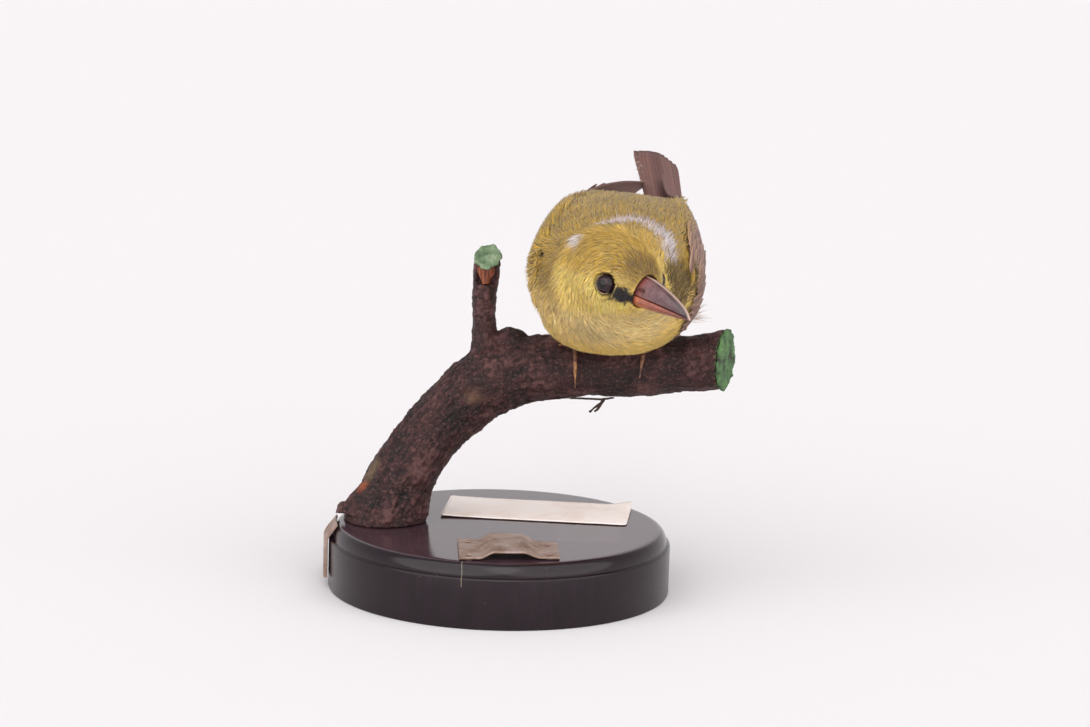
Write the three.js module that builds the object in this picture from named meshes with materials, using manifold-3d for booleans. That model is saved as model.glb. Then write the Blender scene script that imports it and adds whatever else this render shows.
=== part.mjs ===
// A stuffed golden oriole perched on a cut branch, on a turned black plinth.
// Millimetres, +Z up. The origin is the middle of the plinth's underside. The bird faces -Y,
// with its head turned towards +X, so that its right side is on the -X side.

import * as THREE from 'three';
import { mergeVertices } from 'three/addons/utils/BufferGeometryUtils.js';
import Module from 'manifold-3d';

const wasm = await Module();
wasm.setup();

// ---------------------------------------------------------------- driving dimensions

const gap = 0.3; // clearance between pieces that touch

const plinth = { radius: 70, height: 26, beadHeight: 20.4, topRadius: 64.6, foot: 0.8 };

// The branch's centre line from its foot to its cut end, with the bark's radius at each point.
const branchLine = [
  { at: [-49.5, 1.5, 16], radius: 17.8 },
  { at: [-45.5, 2.5, 31], radius: 15.8 },
  { at: [-39.8, 3.5, 45.5], radius: 13.6 },
  { at: [-31.2, 5.5, 59], radius: 12.9 },
  { at: [-21, 6.5, 71.3], radius: 13.2 },
  { at: [-6.5, 7.5, 84], radius: 14.6 },
  { at: [10, 7, 89.6], radius: 13.8 },
  { at: [31, 5, 91.3], radius: 12.2 },
  { at: [54, 3, 92.9], radius: 12.1 },
  { at: [74, 0.5, 95.3], radius: 11.6 },
  { at: [96, -4, 98.6], radius: 11.7 },
];
const branchCut = { at: [88.6, -2.5, 97.6], turn: -18, paint: 1.4 }; // the sawn, painted end

const twigLine = [
  { at: [-7.5, 8, 92], radius: 7.2 },
  { at: [-8.6, 8, 102], radius: 5.5 },
  { at: [-9.3, 8, 112], radius: 4.8 },
  { at: [-9, 8, 124], radius: 5.1 },
  { at: [-7.2, 8, 142], radius: 5.5 },
];
const twigCut = { at: [-8.2, 8, 134.4], tilt: 34, paint: 1.2 }; // the slanting painted top
const twigSliver = { at: [-8.2, 4.9, 131.5], tilt: -14 }; // where the bark has split off

const label = { centre: [15, 24.5], width: 77, depth: 36, turn: -5, thick: 0.5, curl: 2.2 };
const bracket = { width: 39.5, leftDepth: 32, rightDepth: 25.5, turn: 3, thick: 0.9, rise: 2.6 };
const bracketCentre = [4.3, -45.3];
const sidePlate = { turn: 4, width: 16, thick: 1.4, foot: 4.5 };

// The trunk's own frame: its middle, and the yaw and pitch that carry the tail off and up.
const trunkPose = { at: [43.2, -10, 131.2], yaw: -9, pitch: 10.4, roll: 0 };
const tailPose = { at: [65.4, 84, 147.8], yaw: 2.8, pitch: 13, roll: 0 };
const headPose = { at: [45.2, -47, 135.6], yaw: 37, pitch: 7, roll: 0 };
const neckPose = { at: [41, -31, 131.2], yaw: 12, pitch: 0, roll: 0 };

// Oval sections from front to back: distance, half width, half height, lift and any swing aside.
const trunkSections = [
  [-36, 8, 7, -3, 0],
  [-32, 18, 15, -3, 0],
  [-24, 26, 22, -2.5, 0],
  [-11, 32, 27.5, -1.5, 0],
  [4, 33.5, 29, -0.5, 0],
  [20, 31, 27.5, 0, 0],
  [36, 25.5, 23.5, 1, 0],
  [50, 20, 17.5, 1.5, 0.8],
  [64, 14.5, 11.5, 1.5, 3],
  [76, 10.5, 7, 1, 5.5],
  [86, 7.5, 3.8, 0.4, 7.5],
];
const neckSections = [
  [-19, 6, 6, -2],
  [-15.5, 15, 14, -2],
  [-7, 22.5, 21.5, -1],
  [2, 24.8, 24.5, 0],
  [11, 23, 23, 0.5],
  [18, 17, 17, 1],
  [22, 8, 8, 1],
];
const headSections = [
  [-18.5, 4.6, 4.4, 0.8],
  [-16, 8.6, 8, 0.8],
  [-10, 13.4, 12.6, 0.9],
  [-3, 16.6, 16, 1.2],
  [6, 18, 17.4, 1.5],
  [13, 16.6, 16, 2],
  [18, 12.5, 12.5, 2.5],
  [20.5, 6, 6, 3],
];

// Each mandible: distance, half width, height of the cutting edge, height of the outer edge.
const upperBill = [
  [-12, 5.4, -1.3, 5.6],
  [-17, 5.1, -1.4, 5.8],
  [-24, 4.2, -1.7, 4.7],
  [-31, 3.2, -2.1, 2.9],
  [-38, 1.9, -2.8, 0.4],
  [-41.5, 0.9, -3.7, -1.8],
  [-43.2, 0.35, -4.4, -3.4],
];
const lowerBill = [
  [-11, 6, -1.6, -6.8],
  [-18, 5.1, -1.8, -6.7],
  [-25, 4.0, -2.2, -6.2],
  [-32, 2.8, -2.7, -5.5],
  [-38, 1.5, -3.3, -4.9],
  [-41, 0.5, -4, -4.7],
];
const eye = { at: [12.1, -5.5, 1], radius: 4.2 };

// A folded wing from its bend to its tip, in the trunk's frame: the upper edge's x and z, the lower
// edge's x and z, how far its face bulges out between them, and its thickness.
const leftWing = [
  { y: -17, upper: [32, 7], lower: [29, -15], bulge: 2, thick: 2 },
  { y: -12, upper: [32, 15], lower: [25, -21.5], bulge: 7.5, thick: 2.2 },
  { y: 5, upper: [28.5, 21], lower: [23, -24.5], bulge: 9.5, thick: 2.4 },
  { y: 28, upper: [25, 21.5], lower: [22.5, -20.5], bulge: 8.5, thick: 2.4 },
  { y: 55, upper: [18.5, 17.5], lower: [20.5, -10], bulge: 4.6, thick: 2.2 },
  { y: 80, upper: [11.5, 11], lower: [14.5, -4], bulge: 2.3, thick: 1.9 },
  { y: 105, upper: [6.5, 6], lower: [8.5, -1.5], bulge: 0.8, thick: 1.8 },
  { y: 129, upper: [2.2, 5], lower: [3.4, 2.6], bulge: 0.15, thick: 0.9 },
];
const rightWing = [
  { y: -16, upper: [-30.5, 11], lower: [-29.5, -8], bulge: 2, thick: 2 },
  { y: -9, upper: [-29, 18], lower: [-28, -15.5], bulge: 5, thick: 2.2 },
  { y: 8, upper: [-26, 23.5], lower: [-27, -17], bulge: 6.5, thick: 2.4 },
  { y: 28, upper: [-23, 23.5], lower: [-26, -13.5], bulge: 6, thick: 2.4 },
  { y: 55, upper: [-18, 20.5], lower: [-23, -5], bulge: 4, thick: 2.2 },
  { y: 80, upper: [-12.5, 15.5], lower: [-17, 0], bulge: 2, thick: 1.9 },
  { y: 102, upper: [-7.5, 9.5], lower: [-10.5, 0.5], bulge: 0.8, thick: 1.8 },
  { y: 122, upper: [-4.6, 2.8], lower: [-5.7, 0.2], bulge: 0.15, thick: 0.9 },
];

// The closed tail: distance, x of its middle, half width, z of its middle, half thickness, roll.
const tailSections = [
  [-18, 0, 6.5, 0, 1.5, -6],
  [6, 0, 7.8, 0, 1.3, -9],
  [24, 0, 8.6, 0, 1.1, -10],
  [46, 0, 9.2, 0, 0.9, -11],
  [64, 0, 9.2, 0, 0.8, -11],
  [69, 0, 8, 0, 0.6, -11],
];

const toe = { radius: 0.85, tip: 0.45 };
const tarsusRadius = 1.15;
const feet = [
  { name: 'leg_right', side: -1, x: 28.2, middleEnd: 207, middleDrift: 0.6 },
  { name: 'leg_left', side: 1, x: 56.8, middleEnd: 190, middleDrift: -2.2 },
];
const wireRadius = 0.5;

// ---------------------------------------------------------------- shaping helpers

// Values between rows of numbers, eased through every row as t runs from 0 to 1.
function between(rows, t) {
  const along = t * (rows.length - 1);
  const start = Math.min(Math.floor(along), rows.length - 2);
  const f = along - start;
  const pick = (k) => rows[THREE.MathUtils.clamp(start + k, 0, rows.length - 1)];
  const [a, b, c, d] = [pick(-1), pick(0), pick(1), pick(2)];
  return b.map((value, n) => {
    const slope = c[n] - a[n];
    const bend = 2 * a[n] - 5 * value + 4 * c[n] - d[n];
    const twist = 3 * value - a[n] - 3 * c[n] + d[n];
    return value + 0.5 * (slope * f + bend * f * f + twist * f * f * f);
  });
}

function volume(geometry) {
  const { position } = geometry.attributes;
  const corner = [0, 1, 2].map(() => new THREE.Vector3());
  let total = 0;
  for (let i = 0; i < geometry.index.count; i += 3) {
    corner.forEach((v, k) => v.fromBufferAttribute(position, geometry.index.getX(i + k)));
    total += corner[0].dot(corner[1].clone().cross(corner[2])) / 6;
  }
  return total;
}

// A closed body through rings of points, with a fan of faces over each end.
function loft(rings) {
  const count = rings[0].length;
  const points = rings.flat();
  const faces = [];
  for (let r = 0; r < rings.length - 1; r += 1) {
    for (let j = 0; j < count; j += 1) {
      const a = r * count + j;
      const b = r * count + ((j + 1) % count);
      faces.push(a, b, b + count, a, b + count, a + count);
    }
  }
  for (const [first, turn] of [[0, 1], [(rings.length - 1) * count, 0]]) {
    const middle = new THREE.Vector3();
    for (let j = 0; j < count; j += 1) middle.addScaledVector(points[first + j], 1 / count);
    points.push(middle);
    for (let j = 0; j < count; j += 1) {
      const pair = [first + j, first + ((j + 1) % count)];
      faces.push(pair[turn], pair[1 - turn], points.length - 1);
    }
  }
  const geometry = new THREE.BufferGeometry().setFromPoints(points);
  geometry.setIndex(faces);
  if (volume(geometry) < 0) geometry.setIndex(faces.toReversed());
  return geometry;
}

function ring(sides, pointAt) {
  return Array.from({ length: sides }, (unused, j) => pointAt((j / sides) * 2 * Math.PI));
}

// Oval sections along Y, each swollen by grow.
function ovals(rows, steps, sides, grow = 0, underFullness = 1) {
  return loft(Array.from({ length: steps + 1 }, (unused, i) => {
    const [y, width, height, lift, swing = 0] = between(rows, i / steps);
    return ring(sides, (a) => {
      const power = a > Math.PI ? underFullness : 1;
      const across = Math.sign(Math.cos(a)) * Math.abs(Math.cos(a)) ** power;
      const up = Math.sign(Math.sin(a)) * Math.abs(Math.sin(a)) ** power;
      return new THREE.Vector3(swing + (width + grow) * across, y, lift + (height + grow) * up);
    });
  }));
}

// A round rod through points that each have a radius. Bark lumps, if any, ride on its surface.
function rod(line, steps, sides, grow = 0, lump = 0) {
  const curve = new THREE.CatmullRomCurve3(line.map(({ at }) => new THREE.Vector3(...at)));
  const radii = line.map(({ radius }) => [radius]);
  return loft(Array.from({ length: steps + 1 }, (unused, i) => {
    const t = i / steps;
    const centre = curve.getPoint(t);
    const along = curve.getTangent(t);
    const across = new THREE.Vector3(0.02, 1, 0.03).cross(along).normalize();
    const out = along.clone().cross(across);
    return ring(sides, (a) => {
      const wave = Math.sin(3 * a + 17 * t) + 0.7 * Math.sin(2 * a - 29 * t) + 0.5 * Math.sin(41 * t);
      const reach = between(radii, t)[0] + lump * wave + grow;
      return centre.clone().addScaledVector(across, reach * Math.cos(a))
        .addScaledVector(out, reach * Math.sin(a));
    });
  }));
}

function pose({ at, yaw = 0, pitch = 0, roll = 0 }) {
  const { degToRad } = THREE.MathUtils;
  const turn = new THREE.Euler(degToRad(pitch), degToRad(roll), degToRad(yaw), 'ZXY');
  return new THREE.Matrix4().makeRotationFromEuler(turn).setPosition(...at);
}

function solid(geometry) {
  const bare = geometry.clone();
  bare.deleteAttribute('normal');
  bare.deleteAttribute('uv');
  const merged = mergeVertices(bare, 1e-4);
  return new wasm.Manifold(new wasm.Mesh({
    numProp: 3,
    vertProperties: new Float32Array(merged.attributes.position.array),
    triVerts: new Uint32Array(merged.index.array),
  }));
}

// The largest of a cut body's pieces, without the chips that the cut leaves.
const largest = (body) => body.decompose().sort((a, b) => b.volume() - a.volume())[0];

function shape(body) {
  const { vertProperties, triVerts } = body.getMesh();
  const geometry = new THREE.BufferGeometry();
  geometry.setAttribute('position', new THREE.BufferAttribute(vertProperties, 3));
  geometry.setIndex(new THREE.BufferAttribute(triVerts, 1));
  return geometry;
}

// A block whose face lies on the plane through a point, filling the side that the plane faces.
function blockBeyond(at, turn, tilt, reach, depth) {
  const block = new THREE.BoxGeometry(depth, reach, reach).translate(depth / 2, 0, 0);
  block.rotateY(THREE.MathUtils.degToRad(-tilt));
  block.rotateZ(THREE.MathUtils.degToRad(turn));
  return solid(block.translate(...at));
}

const oriole = new THREE.Group();

function add(name, geometry, colour, roughness, metalness = 0) {
  const material = new THREE.MeshStandardMaterial({ color: colour, roughness, metalness });
  const mesh = new THREE.Mesh(geometry, material);
  mesh.name = name;
  oriole.add(mesh);
  return mesh;
}

// ---------------------------------------------------------------- plinth and what lies on it

function plinthProfile() {
  const { radius, height, beadHeight, topRadius, foot } = plinth;
  const points = [[0, 0], [radius - foot, 0], [radius, foot], [radius, beadHeight - 0.8]];
  const ledge = beadHeight + 0.3;
  points.push([radius - 0.3, beadHeight], [radius - 1.3, ledge]);
  const reach = radius - 1.3 - topRadius;
  for (let i = 1; i <= 4; i += 1) {
    const a = (i / 4) * (Math.PI / 2);
    points.push([topRadius + reach * Math.cos(a), ledge + (height - ledge) * Math.sin(a)]);
  }
  points.push([0, height]);
  return points.map(([x, y]) => new THREE.Vector2(x, y));
}

// A sheet over a four-sided outline: top(u, v) gives the upper face, and thick its thickness.
function sheet(columns, rows, thick, top) {
  const grid = (drop) => Array.from({ length: (columns + 1) * (rows + 1) }, (unused, n) => {
    const point = top((n % (columns + 1)) / columns, Math.floor(n / (columns + 1)) / rows);
    return point.setZ(point.z - drop);
  });
  const upper = grid(0);
  const size = upper.length;
  const faces = [];
  const quad = (a, b, c, d) => faces.push(a, b, c, a, c, d);
  const at = (i, j) => j * (columns + 1) + i;
  for (let j = 0; j < rows; j += 1) {
    for (let i = 0; i < columns; i += 1) {
      quad(at(i, j), at(i + 1, j), at(i + 1, j + 1), at(i, j + 1));
      quad(at(i, j) + size, at(i, j + 1) + size, at(i + 1, j + 1) + size, at(i + 1, j) + size);
    }
  }
  for (let i = 0; i < columns; i += 1) {
    quad(at(i, 0), at(i, 0) + size, at(i + 1, 0) + size, at(i + 1, 0));
    quad(at(i, rows), at(i + 1, rows), at(i + 1, rows) + size, at(i, rows) + size);
  }
  for (let j = 0; j < rows; j += 1) {
    quad(at(0, j), at(0, j + 1), at(0, j + 1) + size, at(0, j) + size);
    quad(at(columns, j), at(columns, j) + size, at(columns, j + 1) + size, at(columns, j + 1));
  }
  const geometry = new THREE.BufferGeometry().setFromPoints([...upper, ...grid(thick)]);
  geometry.setIndex(faces);
  return geometry;
}

function labelSheet() {
  const { width, depth, thick, curl } = label;
  const spread = [0.35, 0.22];
  return sheet(10, 5, thick, (u, v) => {
    const lift = (cu, cv, high) => {
      const far = Math.hypot((u - cu) / spread[0], (v - cv) / (spread[1] * 2));
      return high * Math.max(0, 1 - far) ** 2;
    };
    const z = lift(0, 0, curl) + lift(1, 1, curl * 0.5) + lift(0, 1, curl * 0.3);
    return new THREE.Vector3((u - 0.5) * width, (v - 0.5) * depth, thick + z);
  });
}

// A flat strip pinned at both ends, whose middle stands up off the wood.
function bracketSheet() {
  const { width, leftDepth, rightDepth, thick, rise } = bracket;
  return sheet(14, 2, thick, (u, v) => {
    const depth = THREE.MathUtils.lerp(leftDepth, rightDepth, u);
    const climb = THREE.MathUtils.smoothstep(0.5 - Math.abs(u - 0.5), 0.16, 0.32);
    return new THREE.Vector3((u - 0.5) * width, (v - 0.5) * depth, thick + rise * climb);
  });
}

// A strip nailed to the plinth's side and bent in over its moulding, clear of both: a slice of a
// ring that is turned round the plinth.
function sideStrip(grow) {
  const { radius, height, beadHeight, topRadius } = plinth;
  const spine = [[radius, sidePlate.foot], [radius, beadHeight], [radius - 1, beadHeight + 1.6],
    [topRadius + 1.8, height - 0.3]];
  const outward = [[1, 0], [1, 0.25], [0.85, 0.5], [0.4, 0.9]];
  const edge = (off) => spine.map(([r, z], k) => new THREE.Vector2(
    r + off * outward[k][0], z + off * outward[k][1]));
  const outline = [...edge(2 * gap + sidePlate.thick + grow), ...edge(2 * gap - grow).toReversed()];
  outline.push(outline[0].clone());
  const collar = new THREE.LatheGeometry(outline, 90).rotateX(Math.PI / 2);
  const slice = new THREE.BoxGeometry(40, sidePlate.width + 2 * grow, 80).translate(-radius, 0, 0)
    .rotateZ(THREE.MathUtils.degToRad(sidePlate.turn));
  return solid(collar).intersect(solid(slice));
}

add('plinth', new THREE.LatheGeometry(plinthProfile(), 42).rotateX(Math.PI / 2), 0x2a2226, 0.25);
const labelMesh = add('label', labelSheet(), 0xe8dcd2, 0.85);
labelMesh.position.set(...label.centre, plinth.height + gap);
labelMesh.rotation.z = THREE.MathUtils.degToRad(label.turn);
const bracketMesh = add('bracket_top', bracketSheet(), 0x7a655c, 0.55, 0.7);
bracketMesh.position.set(...bracketCentre, plinth.height + gap);
bracketMesh.rotation.z = THREE.MathUtils.degToRad(bracket.turn);

// ---------------------------------------------------------------- branch and twig

function branchBody(grow) {
  return solid(rod(branchLine, 28, 16, grow, 0.28));
}

function knob(at, size) {
  const lump = new THREE.IcosahedronGeometry(1, 1).scale(...size).translate(...at);
  return solid(lump);
}

const endPlane = (offset) => {
  const { at, turn } = branchCut;
  const away = new THREE.Vector3(1, 0, 0)
    .applyAxisAngle(new THREE.Vector3(0, 0, 1), THREE.MathUtils.degToRad(turn));
  return blockBeyond(away.multiplyScalar(offset).add(new THREE.Vector3(...at)).toArray(), turn, 0, 60, 30);
};
const topPlane = (offset) => {
  const { at, tilt } = twigCut;
  const lean = THREE.MathUtils.degToRad(tilt);
  const away = new THREE.Vector3(0, -Math.sin(lean), Math.cos(lean)).multiplyScalar(offset);
  return blockBeyond(away.add(new THREE.Vector3(...at)).toArray(), -90, 90 - tilt, 40, 30);
};
const belowTop = solid(new THREE.BoxGeometry(200, 200, 60).translate(-40, 0, plinth.height + gap - 30));

const wholeBranch = branchBody(0)
  .add(knob([2.5, 8, 100], [8, 7, 7]))
  .add(knob([-27, 1, 70], [6.5, 6.5, 6]))
  .add(knob([-59.5, 0.5, 31.2], [6.2, 4.5, 2.6]));
const twigRod = solid(rod(twigLine, 9, 10, 0, 0.12));
const twigClear = solid(rod(twigLine, 9, 10, gap, 0.12));
const branchGrown = branchBody(gap).add(twigClear);

add('branch', shape(largest(wholeBranch.subtract(belowTop).subtract(twigClear)
  .subtract(endPlane(-gap)).subtract(sideStrip(gap)))), 0x4a3639, 0.6);
add('branch_end_paint', shape(branchBody(0.4).intersect(endPlane(0)).subtract(endPlane(branchCut.paint))),
  0x4f7a45, 0.6);
add('bracket_side', shape(sideStrip(0)), 0x5e5048, 0.55, 0.6);

const sliverBlock = (grow) => blockBeyond(
  [twigSliver.at[0], twigSliver.at[1] + grow, twigSliver.at[2]], -90, twigSliver.tilt, 30, 10)
  .intersect(solid(new THREE.BoxGeometry(7.2 + 2 * grow, 20, 9 + 2 * grow).translate(-8.6, 4, 129.2)));
add('twig', shape(twigRod.subtract(topPlane(-gap)).subtract(sliverBlock(gap))), 0x4a3639, 0.6);
add('twig_bare_wood', shape(twigRod.intersect(sliverBlock(0)).subtract(topPlane(-gap))), 0xa5694c, 0.7);
add('twig_paint', shape(solid(rod(twigLine, 9, 10, 0.3, 0.12)).intersect(topPlane(0))
  .subtract(topPlane(twigCut.paint))), 0x5f8a5c, 0.6);

// The bird is wired to its perch. The wire's twisted ends hang below the branch.
function wireTube(points, steps) {
  return solid(rod(points.map((at) => ({ at, radius: wireRadius })), steps, 5));
}

const wire = wireTube([[20, 1, 78.9], [27, 0, 78.5], [34, 0, 78.4], [40, -0.5, 78.4], [45, 0, 79.2]], 7)
  .add(wireTube([[40.5, -0.5, 78.4], [38.5, -1.6, 76.2], [36.6, -1.2, 74.6], [35.2, -2, 73.2]], 4))
  .add(wireTube([[41.2, -0.3, 78.4], [39.6, -0.6, 76.2], [38.2, -2, 74.4], [37.2, -1.4, 73.4]], 4));
add('perch_wire', shape(wire.subtract(branchGrown)), 0x2b2526, 0.5, 0.5);

// ---------------------------------------------------------------- feet and legs

function branchPointAt(x) {
  const rows = branchLine.map(({ at, radius }) => [...at, radius]);
  let t = 0.5;
  for (let i = 0; i < 30; i += 1) t += (x - between(rows, t)[0]) / 140;
  return between(rows, t);
}

// A toe that follows the bark from one angle to another, while it drifts along the branch.
// Angles run from the back of the branch over its top to its front and down.
function toeTube(x, drift, from, to, claw) {
  const steps = 6;
  const line = Array.from({ length: steps + 1 }, (unused, i) => {
    const f = i / steps;
    const [cx, cy, cz, r] = branchPointAt(x + drift * f);
    const a = THREE.MathUtils.degToRad(THREE.MathUtils.lerp(from, to, f));
    const reach = r + gap + toe.radius * (i === steps ? 1.4 : 0.9);
    const radius = i < steps - 1 ? toe.radius + 0.12 * (i % 2) : toe.tip * claw;
    return { at: [cx, cy + reach * Math.cos(a), cz + reach * Math.sin(a)], radius };
  });
  return solid(rod(line, steps, 6));
}

function legBody({ side, x, middleEnd, middleDrift }, grow) {
  const [cx, cy, cz, r] = branchPointAt(x);
  const stand = THREE.MathUtils.degToRad(118);
  const foot = [cx, cy + (r + 1.5) * Math.cos(stand), cz + (r + 1.5) * Math.sin(stand)];
  const ankle = [x + side * 0.5, 12, 121];
  const shank = [{ at: foot, radius: tarsusRadius + 0.35 + grow },
    { at: foot.map((v, n) => (v * 2 + ankle[n]) / 3), radius: tarsusRadius + grow },
    { at: ankle, radius: tarsusRadius + 0.5 + grow }];
  return solid(rod(shank, 4, 7))
    .add(toeTube(x, middleDrift, 112, middleEnd, 0.8))
    .add(toeTube(x, 6.5 * side, 112, 130, 1))
    .add(toeTube(x, -6.5 * side, 112, 130, 1))
    .add(toeTube(x, -1.5 * side, 120, 52, 1));
}

const legs = feet.map((foot) => legBody(foot, 0));
const legsClear = feet.map((foot) => legBody(foot, gap + 0.05));
feet.forEach(({ name }, n) => add(name, shape(legs[n].subtract(branchGrown)), 0xa87850, 0.6));

// ---------------------------------------------------------------- head, neck and trunk

const placed = (geometry, where) => solid(geometry.applyMatrix4(pose(where)));
const headBody = (grow) => placed(ovals(headSections, 11, 18, grow), headPose);
const neckBody = (grow) => placed(ovals(neckSections, 9, 18, grow), neckPose);
const trunkBody = (grow) => placed(ovals(trunkSections, 14, 20, grow, 0.8), trunkPose);

// A mandible: an arched section that is flat along its cutting edge.
function mandible(rows, grow = 0) {
  return loft(Array.from({ length: 11 }, (unused, i) => {
    const [y, width, edge, outer] = between(rows, i / 10);
    const arch = Math.sign(outer - edge);
    const high = Math.abs(outer - edge) + 2 * grow;
    return Array.from({ length: 9 }, (none, j) => {
      const a = (j / 8) * Math.PI;
      const z = edge + arch * (high * Math.sin(a) - grow);
      return new THREE.Vector3((width + grow) * Math.cos(a), y, z);
    });
  }));
}

function eyeBody(side, grow) {
  const ball = new THREE.SphereGeometry(eye.radius + grow, 12, 8);
  return placed(ball.translate(side * eye.at[0], eye.at[1], eye.at[2]), headPose);
}

const bill = [upperBill, lowerBill].map((rows) => placed(mandible(rows), headPose));
const billClear = [upperBill, lowerBill].map((rows) => placed(mandible(rows, gap), headPose));
const headCut = headBody(0).subtract(billClear[0]).subtract(billClear[1])
  .subtract(eyeBody(1, gap)).subtract(eyeBody(-1, gap));

add('head', shape(headCut), 0xb59a3e, 0.9);
add('bill_upper', shape(bill[0]), 0x7a6068, 0.4);
add('bill_lower', shape(bill[1].subtract(billClear[0])), 0x9c5440, 0.4);
add('eye_right', shape(eyeBody(-1, 0)), 0x0c0b0d, 0.1);
add('eye_left', shape(eyeBody(1, 0)), 0x0c0b0d, 0.1);

const headClear = headBody(gap).add(eyeBody(1, gap)).add(eyeBody(-1, gap)).add(billClear[1]);
add('neck', shape(neckBody(0).subtract(headClear)), 0xbfa44a, 0.9);

// ---------------------------------------------------------------- wings and tail

// A folded wing: an outer face that bulges between its two edges, and an inner face a thickness in.
// With a hollow, it is the room that the wing needs in the trunk, open to the outside.
function wingShell(stations, hollow = false) {
  const rows = stations.map(({ y, upper, lower, bulge, thick }) => [y, ...upper, ...lower, bulge, thick]);
  const [arc, steps] = [7, 13];
  const room = hollow ? gap : 0;
  const side = Math.sign(stations[0].upper[0]);
  return loft(Array.from({ length: steps + 1 }, (unused, i) => {
    const [y, ux, uz, lx, lz, bulge, thick] = between(rows, i / steps);
    const chord = Math.hypot(ux - lx, uz - lz);
    const end = (i === steps ? room : 0) - (i === 0 ? room : 0);
    const face = (inset) => Array.from({ length: arc }, (none, j) => {
      const f = THREE.MathUtils.lerp(-room / chord, 1 + room / chord, j / (arc - 1));
      const out = bulge * (1 - (2 * f - 1) ** 2) - inset * (0.25 + 0.75 * Math.sin(Math.PI * f));
      return new THREE.Vector3(THREE.MathUtils.lerp(ux, lx, f) + side * out * (uz - lz) / chord,
        y + end, THREE.MathUtils.lerp(uz, lz, f) + side * out * (lx - ux) / chord);
    });
    return [...face(hollow ? -8 : 0), ...face(thick + room).toReversed()];
  }));
}

const tailLoft = (grow) => loft(Array.from({ length: 11 }, (unused, i) => {
  const [y, x, width, z, thick, roll] = between(tailSections, i / 10);
  const lean = THREE.MathUtils.degToRad(roll);
  return ring(14, (a) => {
    const across = (width + grow) * Math.cos(a);
    const up = (thick + grow) * Math.sin(a) * (1 + 0.4 * Math.sin(a));
    return new THREE.Vector3(x + across * Math.cos(lean) - up * Math.sin(lean), y,
      z + across * Math.sin(lean) + up * Math.cos(lean));
  });
}));

const tailClear = placed(tailLoft(gap), tailPose);
const neckClear = neckBody(gap);
const wingRooms = [leftWing, rightWing].map((stations) => placed(wingShell(stations, true), trunkPose));
const wingBodies = [leftWing, rightWing].map((stations) => largest(placed(wingShell(stations), trunkPose)
  .subtract(neckClear).subtract(tailClear).subtract(headClear)));

add('trunk', shape(largest(trunkBody(0).subtract(neckClear).subtract(headClear).subtract(tailClear)
  .subtract(wingRooms[0]).subtract(wingRooms[1])
  .subtract(branchGrown).subtract(legsClear[0]).subtract(legsClear[1]))), 0xa59243, 0.9);
add('wing_left', shape(wingBodies[0]), 0x6e5450, 0.7);
add('wing_right', shape(wingBodies[1]), 0x6e5450, 0.7);
add('tail', shape(placed(tailLoft(0), tailPose)), 0x664d49, 0.7);

export default oriole;
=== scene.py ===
import math

import bmesh
import bpy
import numpy as np
from mathutils import Matrix, Vector, noise
from mathutils.bvhtree import BVHTree


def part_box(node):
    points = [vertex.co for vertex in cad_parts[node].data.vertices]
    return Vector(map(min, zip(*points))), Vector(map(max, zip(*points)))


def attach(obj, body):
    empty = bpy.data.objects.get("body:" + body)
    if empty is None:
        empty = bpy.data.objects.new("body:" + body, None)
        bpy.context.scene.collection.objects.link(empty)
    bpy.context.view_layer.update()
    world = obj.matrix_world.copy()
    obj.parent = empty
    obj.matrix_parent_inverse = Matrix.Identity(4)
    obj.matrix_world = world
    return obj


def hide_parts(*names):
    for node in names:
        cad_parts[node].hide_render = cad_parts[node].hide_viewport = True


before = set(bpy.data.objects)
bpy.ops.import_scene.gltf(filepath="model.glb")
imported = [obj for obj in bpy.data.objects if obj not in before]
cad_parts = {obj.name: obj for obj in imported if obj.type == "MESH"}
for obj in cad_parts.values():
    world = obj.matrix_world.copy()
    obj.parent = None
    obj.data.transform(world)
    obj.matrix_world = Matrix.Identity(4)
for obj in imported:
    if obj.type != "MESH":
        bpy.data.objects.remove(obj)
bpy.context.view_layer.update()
mm = 0.001


# Small helpers

def linear(hexColour):  # an sRGB hex value as linear light
    channels = [int(hexColour[i:i + 2], 16) / 255 for i in (1, 3, 5)]
    return tuple(c / 12.92 if c <= 0.04045 else ((c + 0.055) / 1.055) ** 2.4 for c in channels) + (1.0,)


def addNode(tree, kind, inputs=None, **settings):  # a node with its settings, its values and its links
    made = tree.nodes.new(kind)
    for name, value in settings.items():
        if name == "stops":  # a colour ramp's places and colours
            ramp = made.color_ramp.elements
            while len(ramp) < len(value):
                ramp.new(0.5)
            for stop, (place, colour) in zip(ramp, value):
                stop.position = place
                stop.color = colour
        else:
            setattr(made, name, value)
    for name, value in (inputs or {}).items():
        if isinstance(value, bpy.types.NodeSocket):
            tree.links.new(value, made.inputs[name])
        else:
            made.inputs[name].default_value = value
    return made


def newMaterial(name, roughness, ior=1.5, **values):
    material = bpy.data.materials.new(name)
    material.use_nodes = True
    tree = material.node_tree
    shader = tree.nodes["Principled BSDF"]
    shader.inputs["Roughness"].default_value = roughness
    shader.inputs["IOR"].default_value = ior
    for key, value in values.items():
        shader.inputs[key.replace("_", " ")].default_value = value
    return material, tree, shader


def smoothStep(value, low, high):
    t = np.clip((value - low) / (high - low), 0, 1)
    return t * t * (3 - 2 * t)


def cadShape(*names):  # a merged copy of CAD nodes
    bm = bmesh.new()
    for name in names:
        bm.from_mesh(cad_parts[name].data)
    bmesh.ops.remove_doubles(bm, verts=bm.verts, dist=0.01 * mm)
    return bm


def nodePoints(name):
    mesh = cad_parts[name].data
    points = np.empty(len(mesh.vertices) * 3)
    mesh.vertices.foreach_get("co", points)
    return points.reshape(-1, 3)


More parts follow.
